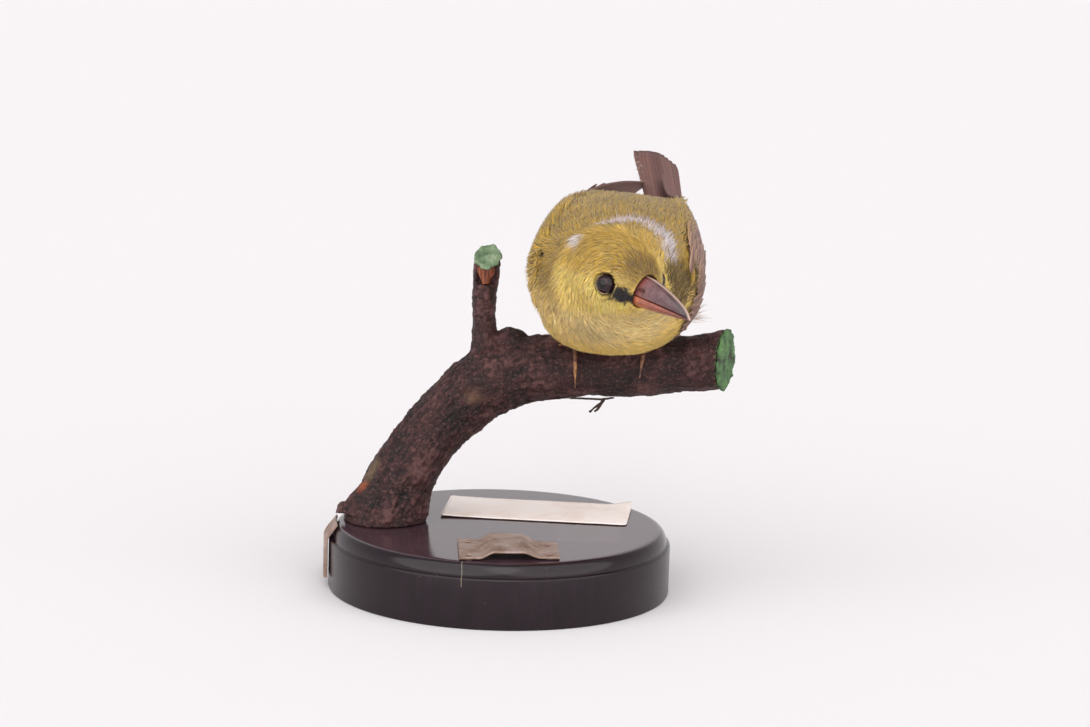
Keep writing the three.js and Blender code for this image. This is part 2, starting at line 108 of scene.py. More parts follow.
def cutAway(bm, at, facing):  # drops what lies beyond a plane and closes the cut
    geometry = bm.verts[:] + bm.edges[:] + bm.faces[:]
    cut = bmesh.ops.bisect_plane(bm, geom=geometry, plane_co=at, plane_no=facing, clear_outer=True)
    edges = [part for part in cut["geom_cut"] if isinstance(part, bmesh.types.BMEdge)]
    bmesh.ops.holes_fill(bm, edges=edges)
    return bm


def withModifiers(bm, *steps):  # a bmesh after modifiers, each (kind, settings)
    mesh = bpy.data.meshes.new("working")
    bm.to_mesh(mesh)
    bm.free()
    working = bpy.data.objects.new("working", mesh)
    bpy.context.collection.objects.link(working)
    for kind, settings in steps:
        modifier = working.modifiers.new(kind, kind)
        for key, value in settings.items():
            setattr(modifier, key, value)
    done = bmesh.new()
    evaluated = working.evaluated_get(bpy.context.evaluated_depsgraph_get())
    done.from_mesh(evaluated.to_mesh())
    bpy.data.objects.remove(working)
    return done


def makePiece(name, bm, material, stands=(), smooth=True):
    mesh = bpy.data.meshes.new(name)
    bm.to_mesh(mesh)
    bm.free()
    return finishPiece(name, mesh, material, stands, smooth)


def finishPiece(name, mesh, material, stands=(), smooth=True):
    piece = bpy.data.objects.new(name, mesh)
    bpy.context.collection.objects.link(piece)
    mesh.materials.append(material)
    if smooth:
        mesh.shade_smooth()
    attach(piece, "root")
    if stands:
        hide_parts(*stands)
    return piece


def addAttribute(mesh, name, values):  # one number for each vertex
    made = mesh.attributes.new(name, "FLOAT", "POINT")
    made.data.foreach_set("value", np.asarray(values, dtype=np.float32))


def addColours(mesh, name, colours):
    made = mesh.attributes.new(name, "FLOAT_COLOR", "POINT")
    rgba = np.ones((len(colours), 4), dtype=np.float32)
    rgba[:, :3] = colours
    made.data.foreach_set("color", rgba.ravel())


# Camera, light and floor

studio = dict(
    lens=100.0, place=(16.4, -1207.7, 314.0), pitchDown=10.35, roll=1.75,
    lamps=(("key", 1.95, 80, (-0.7, -1.0, 0.95)), ("fill", 1.5, 80, (0.9, -0.95, 0.95))),
    floorSize=14.0, floorColour="#E5E2E3", horizon=0.92, overhead=0.52, skyColour="#FBF8FA",
)


def makeStudio():
    camera = bpy.data.objects.new("camera", bpy.data.cameras.new("camera"))
    bpy.context.collection.objects.link(camera)
    camera.data.lens = studio["lens"]
    camera.data.sensor_width = 36
    camera.data.clip_end = 50
    turn = Matrix.Rotation(math.radians(90 - studio["pitchDown"]), 4, "X")
    spin = Matrix.Rotation(math.radians(studio["roll"]), 4, "Z")
    camera.matrix_world = Matrix.Translation(Vector(studio["place"]) * mm) @ turn @ spin
    bpy.context.scene.camera = camera

    for name, power, softness, place in studio["lamps"]:  # broad soft boxes, far off for an even floor
        lamp = bpy.data.objects.new(name, bpy.data.lights.new(name, "SUN"))
        bpy.context.collection.objects.link(lamp)
        lamp.data.energy = power
        lamp.data.angle = math.radians(softness)
        lamp.rotation_euler = Vector(place).to_track_quat("Z", "Y").to_euler()

    world = bpy.data.worlds.new("white room")
    bpy.context.scene.world = world
    world.use_nodes = True
    sky = world.node_tree.nodes["Background"]
    way = addNode(world.node_tree, "ShaderNodeTexCoord").outputs["Generated"]
    way = addNode(world.node_tree, "ShaderNodeSeparateXYZ", {"Vector": way})
    level = addNode(world.node_tree, "ShaderNodeMapRange", {
        "Value": way.outputs["Z"], "From Min": 0.12, "From Max": 0.6, "To Min": studio["horizon"],
        "To Max": studio["overhead"]})
    sky.inputs["Color"].default_value = linear(studio["skyColour"])
    world.node_tree.links.new(level.outputs[0], sky.inputs["Strength"])
    bpy.context.scene.view_settings.view_transform = "Standard"

    bm = bmesh.new()
    bmesh.ops.create_circle(bm, cap_ends=True, segments=64, radius=studio["floorSize"])
    material, tree, shader = newMaterial("matt white card", 0.9)  # plain and matt, so shadows read softly
    shader.inputs["Base Color"].default_value = linear(studio["floorColour"])
    mesh = bpy.data.meshes.new("floor")
    bm.to_mesh(mesh)
    bm.free()
    floor = bpy.data.objects.new("floor", mesh)
    bpy.context.collection.objects.link(floor)
    mesh.materials.append(material)


makeStudio()
print("studio made")


# Plinth: a disc turned on a lathe, stained black and polished

plinth = dict(bead=20.4 * mm, topRadius=64.6 * mm, foot=0.8 * mm, turns=180, arc=10,
              crackX=-13.2 * mm, crackWidth=0.13 * mm, crackFront=-63.8 * mm, crackFrom=16.8 * mm,
              crackColour="#77725E", markAt=(36 * mm, -13 * mm), markHalf=13 * mm, markColour="#C9A08E",
              # the side and the moulding: the same black set to reflect less, as painted shade
              top=("polished black top", 1.72, 0.0), side=("shaded black side", 1.38, 0.14),
              moulding=("shaded black moulding", 1.42, 0.05))


def ebonisedWood(name, ior, dull):  # stained and French polished: warm black, clear shine, fine scratches
    material, tree, shader = newMaterial(name, 0.2, ior=ior)
    place = addNode(tree, "ShaderNodeTexCoord").outputs["Object"]
    grainPlace = addNode(tree, "ShaderNodeMapping", {"Vector": place, "Scale": (60, 900, 60)},
                         vector_type="POINT")
    grain = addNode(tree, "ShaderNodeTexNoise", {"Vector": grainPlace.outputs[0], "Scale": 1.0,
                                                 "Detail": 6.0})
    dust = addNode(tree, "ShaderNodeTexNoise", {"Vector": place, "Scale": 38.0, "Detail": 8.0,
                                                "Roughness": 0.7})
    specks = addNode(tree, "ShaderNodeTexVoronoi", {"Vector": place, "Scale": 160.0, "Randomness": 1.0})
    speckMask = addNode(tree, "ShaderNodeMath", {0: specks.outputs["Distance"], 1: 0.026},
                        operation="LESS_THAN")
    speckMask = addNode(tree, "ShaderNodeMath", {0: speckMask.outputs[0], 1: dust.outputs["Fac"]},
                        operation="MULTIPLY")
    wood = addNode(tree, "ShaderNodeValToRGB", {"Fac": grain.outputs["Fac"]}, stops=[
        (0.3, linear("#0D050A")), (0.7, linear("#1B0D15"))])
    height = addNode(tree, "ShaderNodeSeparateXYZ", {"Vector": place})
    onTop = addNode(tree, "ShaderNodeMapRange", {"Value": height.outputs["Z"], "From Min": 25.6 * mm,
                                                 "From Max": 25.95 * mm})
    film = addNode(tree, "ShaderNodeMath", {0: dust.outputs["Fac"], 1: 0.32}, operation="MULTIPLY")
    film = addNode(tree, "ShaderNodeMath", {0: film.outputs[0], 1: onTop.outputs[0]}, operation="MULTIPLY")
    film = addNode(tree, "ShaderNodeMath", {0: film.outputs[0], 1: 0.015}, operation="ADD")
    dusty = addNode(tree, "ShaderNodeMix", {"Factor": film.outputs[0], "A": wood.outputs["Color"],
                                            "B": linear("#8A6872")}, data_type="RGBA")
    specked = addNode(tree, "ShaderNodeMix", {"Factor": speckMask.outputs[0], "A": dusty.outputs["Result"],
                                              "B": linear("#8F8380")}, data_type="RGBA")
    # a paler oblong where something was once glued
    oblongX = addNode(tree, "ShaderNodeMath", {0: height.outputs["X"], 1: plinth["markAt"][0],
                                                   2: plinth["markHalf"]}, operation="COMPARE")
    oblongY = addNode(tree, "ShaderNodeMath", {0: height.outputs["Y"], 1: plinth["markAt"][1],
                                                   2: plinth["markHalf"]}, operation="COMPARE")
    oblong = addNode(tree, "ShaderNodeMath", {0: oblongX.outputs[0], 1: oblongY.outputs[0]},
                     operation="MULTIPLY")
    oblong = addNode(tree, "ShaderNodeMath", {0: oblong.outputs[0], 1: onTop.outputs[0]},
                     operation="MULTIPLY")
    oblong = addNode(tree, "ShaderNodeMath", {0: oblong.outputs[0], 1: 0.045}, operation="MULTIPLY")
    specked = addNode(tree, "ShaderNodeMix", {"Factor": oblong.outputs[0], "A": specked.outputs["Result"],
                                              "B": linear(plinth["markColour"])}, data_type="RGBA")
    # the split runs up the side and over the moulding at one place
    offset = addNode(tree, "ShaderNodeMath", {0: height.outputs["X"], 1: plinth["crackX"]},
                     operation="SUBTRACT")
    wobble = addNode(tree, "ShaderNodeMath", {0: grain.outputs["Fac"], 1: 0.5 * mm}, operation="MULTIPLY")
    offset = addNode(tree, "ShaderNodeMath", {0: offset.outputs[0], 1: wobble.outputs[0]}, operation="ADD")
    near = addNode(tree, "ShaderNodeMath", {0: offset.outputs[0], 1: 0.0, 2: plinth["crackWidth"]},
                   operation="COMPARE")
    front = addNode(tree, "ShaderNodeMath", {0: height.outputs["Y"], 1: plinth["crackFront"]},
                    operation="LESS_THAN")
    low = addNode(tree, "ShaderNodeMath", {0: height.outputs["Z"], 1: plinth["crackFrom"]},
                  operation="GREATER_THAN")
    crack = addNode(tree, "ShaderNodeMath", {0: near.outputs[0], 1: front.outputs[0]}, operation="MULTIPLY")
    crack = addNode(tree, "ShaderNodeMath", {0: crack.outputs[0], 1: low.outputs[0]}, operation="MULTIPLY")
    finished = addNode(tree, "ShaderNodeMix", {"Factor": crack.outputs[0], "A": specked.outputs["Result"],
                                               "B": linear(plinth["crackColour"])}, data_type="RGBA")
    rough = addNode(tree, "ShaderNodeMapRange", {"Value": dust.outputs["Fac"], "To Min": 0.04 + dull,
                                                 "To Max": 0.2 + dull})
    scratchPlace = addNode(tree, "ShaderNodeMapping", {"Vector": place, "Rotation": (0, 0, 0.5),
                                                       "Scale": (30, 1400, 30)})
    scratches = addNode(tree, "ShaderNodeTexNoise", {"Vector": scratchPlace.outputs[0], "Scale": 1.0,
                                                     "Detail": 3.0})
    bump = addNode(tree, "ShaderNodeBump", {"Height": scratches.outputs["Fac"], "Strength": 0.12,
                                            "Distance": 0.1 * mm})
    tree.links.new(finished.outputs["Result"], shader.inputs["Base Color"])
    tree.links.new(rough.outputs[0], shader.inputs["Roughness"])
    tree.links.new(bump.outputs[0], shader.inputs["Normal"])
    return material


def makePlinth():
    low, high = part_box("plinth")
    radius = (high[0] - low[0]) / 2
    height = high[2]
    ledge = plinth["bead"] + 0.3 * mm
    reach = radius - 1.3 * mm - plinth["topRadius"]
    outline = [(0, 0), (radius - plinth["foot"], 0), (radius - 0.2 * mm, 0.2 * mm),
               (radius, plinth["foot"])]
    outline += [(radius, plinth["bead"] - 0.8 * mm), (radius - 0.1 * mm, plinth["bead"] - 0.3 * mm)]
    outline += [(radius - 0.4 * mm, plinth["bead"]), (radius - 1.1 * mm, ledge - 0.1 * mm)]
    for step in range(plinth["arc"] + 1):
        a = step / plinth["arc"] * math.pi / 2
        rise = (height - ledge) * math.sin(a) ** 1.15
        outline.append((plinth["topRadius"] + reach * math.cos(a), ledge + rise))
    outline += [(plinth["topRadius"] - 1.5 * mm, height), (0, height)]
    bm = bmesh.new()
    points = [bm.verts.new((r, 0, z)) for r, z in outline]
    for first, second in zip(points, points[1:]):
        bm.edges.new((first, second))
    bmesh.ops.spin(bm, geom=bm.verts[:] + bm.edges[:], axis=(0, 0, 1), cent=(0, 0, 0), dvec=(0, 0, 0),
                   angle=2 * math.pi, steps=plinth["turns"], use_merge=True)
    bmesh.ops.remove_doubles(bm, verts=bm.verts, dist=0.005 * mm)
    bmesh.ops.recalc_face_normals(bm, faces=bm.faces)
    polished = ebonisedWood(*plinth["top"])
    piece = makePiece("turnedPlinth", bm, polished, ["plinth"])
    # the side and the moulding take copies of the same black, set to reflect less of the bright room than
    # the top, as painted shade
    piece.data.materials.append(ebonisedWood(*plinth["side"]))
    piece.data.materials.append(ebonisedWood(*plinth["moulding"]))
    for face in piece.data.polygons:
        side = face.center.z < plinth["bead"] - 0.2 * mm
        face.material_index = 1 if side else 2 if face.center.z < height - 0.25 * mm else 0
    sharp = piece.modifiers.new("crisp edges", "EDGE_SPLIT")
    sharp.split_angle = math.radians(50)


makePlinth()
print("plinth made")


# Label: a blank slip of old card

label = dict(width=77 * mm, depth=36 * mm, turn=-5, thick=0.35 * mm, curl=1.3 * mm, clip=1.6 * mm)


def oldPaper():  # handmade card gone cream, with foxing and soft fibres
    material, tree, shader = newMaterial("aged card", 0.9)
    place = addNode(tree, "ShaderNodeTexCoord").outputs["Object"]
    stain = addNode(tree, "ShaderNodeTexNoise", {"Vector": place, "Scale": 45.0, "Detail": 5.0,
                                                 "Roughness": 0.65})
    tone = addNode(tree, "ShaderNodeValToRGB", {"Fac": stain.outputs["Fac"]}, stops=[
        (0.3, linear("#EFDDD2")), (0.5, linear("#FAEEE8")), (0.75, linear("#FCF4F0"))])
    fox = addNode(tree, "ShaderNodeTexVoronoi", {"Vector": place, "Scale": 130.0})
    foxMask = addNode(tree, "ShaderNodeMapRange", {"Value": fox.outputs["Distance"], "From Min": 0.02,
                                                   "From Max": 0.14, "To Min": 0.35, "To Max": 0.0})
    coloured = addNode(tree, "ShaderNodeMix", {"Factor": foxMask.outputs[0], "A": tone.outputs["Color"],
                                               "B": linear("#C9A98C")}, data_type="RGBA")
    fibre = addNode(tree, "ShaderNodeTexNoise", {"Vector": place, "Scale": 2600.0, "Detail": 3.0})
    bump = addNode(tree, "ShaderNodeBump", {"Height": fibre.outputs["Fac"], "Strength": 0.25,
                                            "Distance": 0.05 * mm})
    tree.links.new(coloured.outputs["Result"], shader.inputs["Base Color"])
    tree.links.new(bump.outputs[0], shader.inputs["Normal"])
    return material


def makeLabel():
    low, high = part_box("label")
    centre = (low + high) / 2
    bm = bmesh.new()
    bmesh.ops.create_grid(bm, x_segments=48, y_segments=24, size=0.5)
    for vert in bm.verts:
        u, v = vert.co.x + 0.5, vert.co.y + 0.5
        x, y = (u - 0.5) * label["width"], (v - 0.5) * label["depth"]
        corner = Vector((abs(x) - label["width"] / 2 + label["clip"],
                         abs(y) - label["depth"] / 2 + label["clip"]))
        if corner.x > 0 and corner.y > 0 and corner.length > label["clip"]:  # worn round corners
            corner = corner.normalized() * label["clip"]
            x = math.copysign(label["width"] / 2 - label["clip"] + corner.x, x)
            y = math.copysign(label["depth"] / 2 - label["clip"] + corner.y, y)
        frontLeft = max(0, 1 - math.hypot(u / 0.3, v / 0.75)) ** 1.7
        backRight = max(0, 1 - math.hypot((1 - u) / 0.16, (1 - v) / 0.5)) ** 2
        backLeft = max(0, 1 - math.hypot(u / 0.25, (1 - v) / 0.4)) ** 2
        z = label["curl"] * (0.25 * frontLeft + 1.4 * backRight + 0.3 * backLeft)
        z += 0.12 * mm * noise.noise(Vector((u * 5, v * 3, 1)))
        vert.co = (x, y, z)
    bmesh.ops.solidify(bm, geom=bm.faces[:], thickness=label["thick"])
    turn = Matrix.Rotation(math.radians(label["turn"]), 4, "Z")
    bmesh.ops.transform(bm, matrix=turn, verts=bm.verts)
    lowest = min(vert.co.z for vert in bm.verts)
    bmesh.ops.translate(bm, vec=(centre.x, centre.y, low.z - lowest), verts=bm.verts)
    bmesh.ops.recalc_face_normals(bm, faces=bm.faces)
    makePiece("paperLabel", bm, oldPaper(), ["label"])


makeLabel()


# Brackets: tinplate, cut and bent by hand

bracket = dict(width=39.5 * mm, leftDepth=32 * mm, rightDepth=25.5 * mm, turn=3, thick=0.8 * mm,
               rise=2.4 * mm,
               hole=1.5 * mm, holeInset=3.9 * mm)


def rustyTin():  # tinned sheet: dull grey metal with brown rust in blotches and scratches
    material, tree, shader = newMaterial("rusty tinplate", 0.5)
    place = addNode(tree, "ShaderNodeTexCoord").outputs["Object"]
    blotch = addNode(tree, "ShaderNodeTexNoise", {"Vector": place, "Scale": 110.0, "Detail": 8.0,
                                                  "Roughness": 0.7})
    tone = addNode(tree, "ShaderNodeValToRGB", {"Fac": blotch.outputs["Fac"]}, stops=[
        (0.32, linear("#5E4436")), (0.44, linear("#866B5C")), (0.57, linear("#A68F84")),
        (0.75, linear("#BDACA4"))])
    metal = addNode(tree, "ShaderNodeMapRange", {"Value": blotch.outputs["Fac"], "From Min": 0.4,
                                                 "From Max": 0.65,
                                                 "To Min": 0.1, "To Max": 0.65})
    rough = addNode(tree, "ShaderNodeMapRange", {"Value": blotch.outputs["Fac"], "To Min": 0.75,
                                                 "To Max": 0.35})
    pits = addNode(tree, "ShaderNodeTexNoise", {"Vector": place, "Scale": 900.0, "Detail": 4.0})
    bump = addNode(tree, "ShaderNodeBump", {"Height": pits.outputs["Fac"], "Strength": 0.4,
                                            "Distance": 0.08 * mm})
    tree.links.new(tone.outputs["Color"], shader.inputs["Base Color"])
    tree.links.new(metal.outputs[0], shader.inputs["Metallic"])
    tree.links.new(rough.outputs[0], shader.inputs["Roughness"])
    tree.links.new(bump.outputs[0], shader.inputs["Normal"])
    return material


def makeBrackets():
    tin = rustyTin()
    low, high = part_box("bracket_top")
    centre = (low + high) / 2
    bm = bmesh.new()
    bmesh.ops.create_grid(bm, x_segments=76, y_segments=52, size=0.5)
    holes = []
    for side in (-1, 1):
        depth = bracket["leftDepth"] if side < 0 else bracket["rightDepth"]
        for end in (-1, 1):
            across = depth / 2 - bracket["holeInset"] * (1.0 if end < 0 else 1.5)
            holes.append(Vector((side * (bracket["width"] / 2 - bracket["holeInset"]), end * across, 0)))
    for vert in bm.verts:
        u = vert.co.x + 0.5
        depth = bracket["leftDepth"] + (bracket["rightDepth"] - bracket["leftDepth"]) * u
        vert.co.x *= bracket["width"]
        vert.co.y *= depth * (1 + 0.05 * smoothStep(0.5 - abs(u - 0.5), 0.14, 0.3))
    inside = [face for face in bm.faces
              if any((face.calc_center_median() - hole).length < bracket["hole"] for hole in holes)]
    bmesh.ops.delete(bm, geom=inside, context="FACES")
    for vert in bm.verts:
        for hole in holes:
            away = vert.co - hole
            if away.length < bracket["hole"] * 1.25 and vert.is_boundary:
                vert.co = hole + away.normalized() * bracket["hole"]
    for vert in bm.verts:
        u = vert.co.x / bracket["width"] + 0.5
        climb = smoothStep(u, 0.2, 0.35) * (1 - smoothStep(u, 0.62, 0.82))
        vert.co.z = bracket["rise"] * climb + 0.25 * mm * noise.noise(vert.co * 90)
        for hole in holes:
            vert.co.z -= 0.35 * mm * max(0, 1 - (vert.co - hole).to_2d().length / (2.4 * mm))
    bmesh.ops.solidify(bm, geom=bm.faces[:], thickness=bracket["thick"])
    bmesh.ops.rotate(bm, matrix=Matrix.Rotation(math.radians(bracket["turn"]), 3, "Z"), verts=bm.verts)
    lowest = min(vert.co.z for vert in bm.verts)
    bmesh.ops.translate(bm, vec=(centre.x, centre.y, low.z - lowest), verts=bm.verts)
    bmesh.ops.recalc_face_normals(bm, faces=bm.faces)
    makePiece("tinBracket", bm, tin, ["bracket_top"])

    strip = cadShape("bracket_side")
    bmesh.ops.dissolve_limit(strip, angle_limit=math.radians(2), verts=strip.verts, edges=strip.edges)
    bmesh.ops.bevel(strip, geom=strip.edges[:], offset=0.38 * mm, affect="EDGES", segments=3, profile=0.5,
                    material=-1, clamp_overlap=True)
    makePiece("tinStrip", strip, tin, ["bracket_side"], smooth=False)


makeBrackets()
print("label and brackets made")


# Branch: a cut branch with its bark on, varnished, its sawn ends dabbed with paint

bark = dict(
    line=[(-49, 1.5, 20), (-45, 2.5, 34), (-38, 4, 50), (-27, 6, 66), (-10, 7.5, 82), (10, 7, 90),
          (40, 4.5, 92), (65, 2, 94), (95, -4, 98)],
    voxel=0.6 * mm, lumps=0.8 * mm, grain=0.46 * mm, warts=0.42 * mm,
    endAt=(88.6, -2.5, 97.6), endTurn=-18, twigFrom=94 * mm,
    scars=[((-56.2, -3.3, 41.4), 2.4, "#A4522C"), ((-52.6, -2.3, 49.2), 3.6, "#6E5C42"),
           ((-54.3, -2.7, 45.9), 3.0, "#6A5640"), ((-12.3, -7, 79.5), 2.6, "#70503E")],
)


def barkPlaces(points):  # how far along the branch and how far round it each point lies, in millimetres
    line = np.array(bark["line"]) * mm
    starts, steps = line[:-1], np.diff(line, axis=0)
    lengths = np.linalg.norm(steps, axis=1)
    before = np.concatenate([[0], np.cumsum(lengths)[:-1]])
    best = np.full(len(points), 1e9)
    along = np.zeros(len(points))
    around = np.zeros(len(points))
    for start, step, length, run in zip(starts, steps, lengths, before):
        t = np.clip(((points - start) @ step) / length ** 2, 0, 1)
        away = points - (start + t[:, None] * step)
        far = np.linalg.norm(away, axis=1)
        up = np.cross(step / length, (0, 1, 0))
        angle = np.arctan2(away @ up, away[:, 1])
        better = far < best
        best = np.where(better, far, best)
        along = np.where(better, run + t * length, along)
        around = np.where(better, angle * 12.5 * mm, around)
    return along / mm, around / mm


def barkMaterial():  # fruit wood bark under old varnish: dark purple brown, grey ridges, glossy
    material, tree, shader = newMaterial("varnished bark", 0.5, ior=1.42)
    place = addNode(tree, "ShaderNodeTexCoord").outputs["Object"]
    relief = addNode(tree, "ShaderNodeAttribute", attribute_name="relief").outputs["Fac"]
    along = addNode(tree, "ShaderNodeAttribute", attribute_name="along").outputs["Fac"]
    around = addNode(tree, "ShaderNodeAttribute", attribute_name="around").outputs["Fac"]
    rings = addNode(tree, "ShaderNodeCombineXYZ", {"X": along, "Y": around, "Z": 0.0})
    blotch = addNode(tree, "ShaderNodeTexNoise", {"Vector": place, "Scale": 70.0, "Detail": 6.0,
                                                  "Roughness": 0.62})
    grain = addNode(tree, "ShaderNodeTexNoise", {"Vector": place, "Scale": 900.0, "Detail": 5.0,
                                                 "Roughness": 0.75})
    # the colour follows the relief: darkest in the furrows as painted shade, paler and greyer on the ridges
    tone = addNode(tree, "ShaderNodeValToRGB", {"Fac": relief}, stops=[
        (0.1, linear("#0C0304")), (0.42, linear("#240B0D")), (0.64, linear("#361718")),
        (0.95, linear("#5A3A38"))])
    warm = addNode(tree, "ShaderNodeMapRange", {"Value": blotch.outputs["Fac"], "From Min": 0.45,
                                                "From Max": 0.72,
                                                "To Min": 0.0, "To Max": 0.5})
    mixed = addNode(tree, "ShaderNodeMix", {"Factor": warm.outputs[0], "A": tone.outputs["Color"],
                                            "B": linear("#3E1E18")}, data_type="RGBA")
    flecks = addNode(tree, "ShaderNodeMapRange", {"Value": grain.outputs["Fac"], "From Min": 0.53,
                                                  "From Max": 0.62,
                                                  "To Min": 0.0, "To Max": 0.55})
    mixed = addNode(tree, "ShaderNodeMix", {"Factor": flecks.outputs[0], "A": mixed.outputs["Result"],
                                            "B": linear("#74524C")}, data_type="RGBA")
    # lenticels: pale short lines that run round the branch
    poreScale = addNode(tree, "ShaderNodeMapping", {"Vector": rings.outputs[0], "Scale": (0.62, 0.13, 1.0)})
    pores = addNode(tree, "ShaderNodeTexVoronoi", {"Vector": poreScale.outputs[0], "Scale": 1.0})
    poreMask = addNode(tree, "ShaderNodeMapRange", {"Value": pores.outputs["Distance"], "From Min": 0.05,
                                                    "From Max": 0.16, "To Min": 0.4, "To Max": 0.0})
    mixed = addNode(tree, "ShaderNodeMix", {"Factor": poreMask.outputs[0], "A": mixed.outputs["Result"],
                                            "B": linear("#6C4C46")}, data_type="RGBA")
    for spot, size, colour in bark["scars"]:
        gap = addNode(tree, "ShaderNodeVectorMath", {0: place, 1: tuple(Vector(spot) * mm)},
                      operation="DISTANCE")
        ragged = addNode(tree, "ShaderNodeMath", {0: grain.outputs["Fac"], 1: 14 * mm},
                         operation="MULTIPLY")
        gap = addNode(tree, "ShaderNodeMath", {0: gap.outputs["Value"], 1: ragged.outputs[0]},
                      operation="ADD")
        mask = addNode(tree, "ShaderNodeMapRange", {"Value": gap.outputs[0], "From Min": (size + 5.6) * mm,
                                                    "From Max": (size + 8.4) * mm, "To Min": 0.7,
                                                    "To Max": 0.0})
        mixed = addNode(tree, "ShaderNodeMix", {"Factor": mask.outputs[0], "A": mixed.outputs["Result"],
                                                "B": linear(colour)}, data_type="RGBA")
    painted = addNode(tree, "ShaderNodeAttribute", attribute_name="paint").outputs["Fac"]
    dab = addNode(tree, "ShaderNodeMath", {0: painted, 1: grain.outputs["Fac"]}, operation="ADD")
    dab = addNode(tree, "ShaderNodeMapRange", {"Value": dab.outputs[0], "From Min": 1.0, "From Max": 1.12})
    mixed = addNode(tree, "ShaderNodeMix", {"Factor": dab.outputs[0], "A": mixed.outputs["Result"],
                                            "B": linear("#55794A")}, data_type="RGBA")
    rough = addNode(tree, "ShaderNodeMapRange", {"Value": grain.outputs["Fac"], "To Min": 0.3,
                                                 "To Max": 0.7})
    fine = addNode(tree, "ShaderNodeBump", {"Height": grain.outputs["Fac"], "Strength": 1.0,
                                            "Distance": 0.7 * mm})
    tree.links.new(mixed.outputs["Result"], shader.inputs["Base Color"])
    tree.links.new(rough.outputs[0], shader.inputs["Roughness"])
    tree.links.new(fine.outputs[0], shader.inputs["Normal"])
    return material


def endPaint(name, colours):  # thick matt paint dabbed on end grain: uneven, with bare wood showing through
    material, tree, shader = newMaterial(name, 0.62)
    place = addNode(tree, "ShaderNodeTexCoord").outputs["Object"]
    patch = addNode(tree, "ShaderNodeTexNoise", {"Vector": place, "Scale": 190.0, "Detail": 6.0,
                                                 "Roughness": 0.66})
    tone = addNode(tree, "ShaderNodeValToRGB", {"Fac": patch.outputs["Fac"]}, stops=[
        (0.34, linear(colours[0])), (0.46, linear(colours[1])), (0.7, linear(colours[2]))])
    bump = addNode(tree, "ShaderNodeBump", {"Height": patch.outputs["Fac"], "Strength": 0.7,
                                            "Distance": 0.4 * mm})
    tree.links.new(tone.outputs["Color"], shader.inputs["Base Color"])
    tree.links.new(bump.outputs[0], shader.inputs["Normal"])
    return material


def splitWood():  # bare torn wood: straight orange fibres
    material, tree, shader = newMaterial("bare split wood", 0.75)
    place = addNode(tree, "ShaderNodeTexCoord").outputs["Object"]
    stretched = addNode(tree, "ShaderNodeMapping", {"Vector": place, "Scale": (900, 900, 110)})
    fibre = addNode(tree, "ShaderNodeTexNoise", {"Vector": stretched.outputs[0], "Scale": 1.0,
                                                 "Detail": 5.0})
    tone = addNode(tree, "ShaderNodeValToRGB", {"Fac": fibre.outputs["Fac"]}, stops=[
        (0.3, linear("#3E1A10")), (0.5, linear("#7A3E26")), (0.7, linear("#A66440"))])
    bump = addNode(tree, "ShaderNodeBump", {"Height": fibre.outputs["Fac"], "Strength": 0.6,
                                            "Distance": 0.2 * mm})
    tree.links.new(tone.outputs["Color"], shader.inputs["Base Color"])
    tree.links.new(bump.outputs[0], shader.inputs["Normal"])
    return material


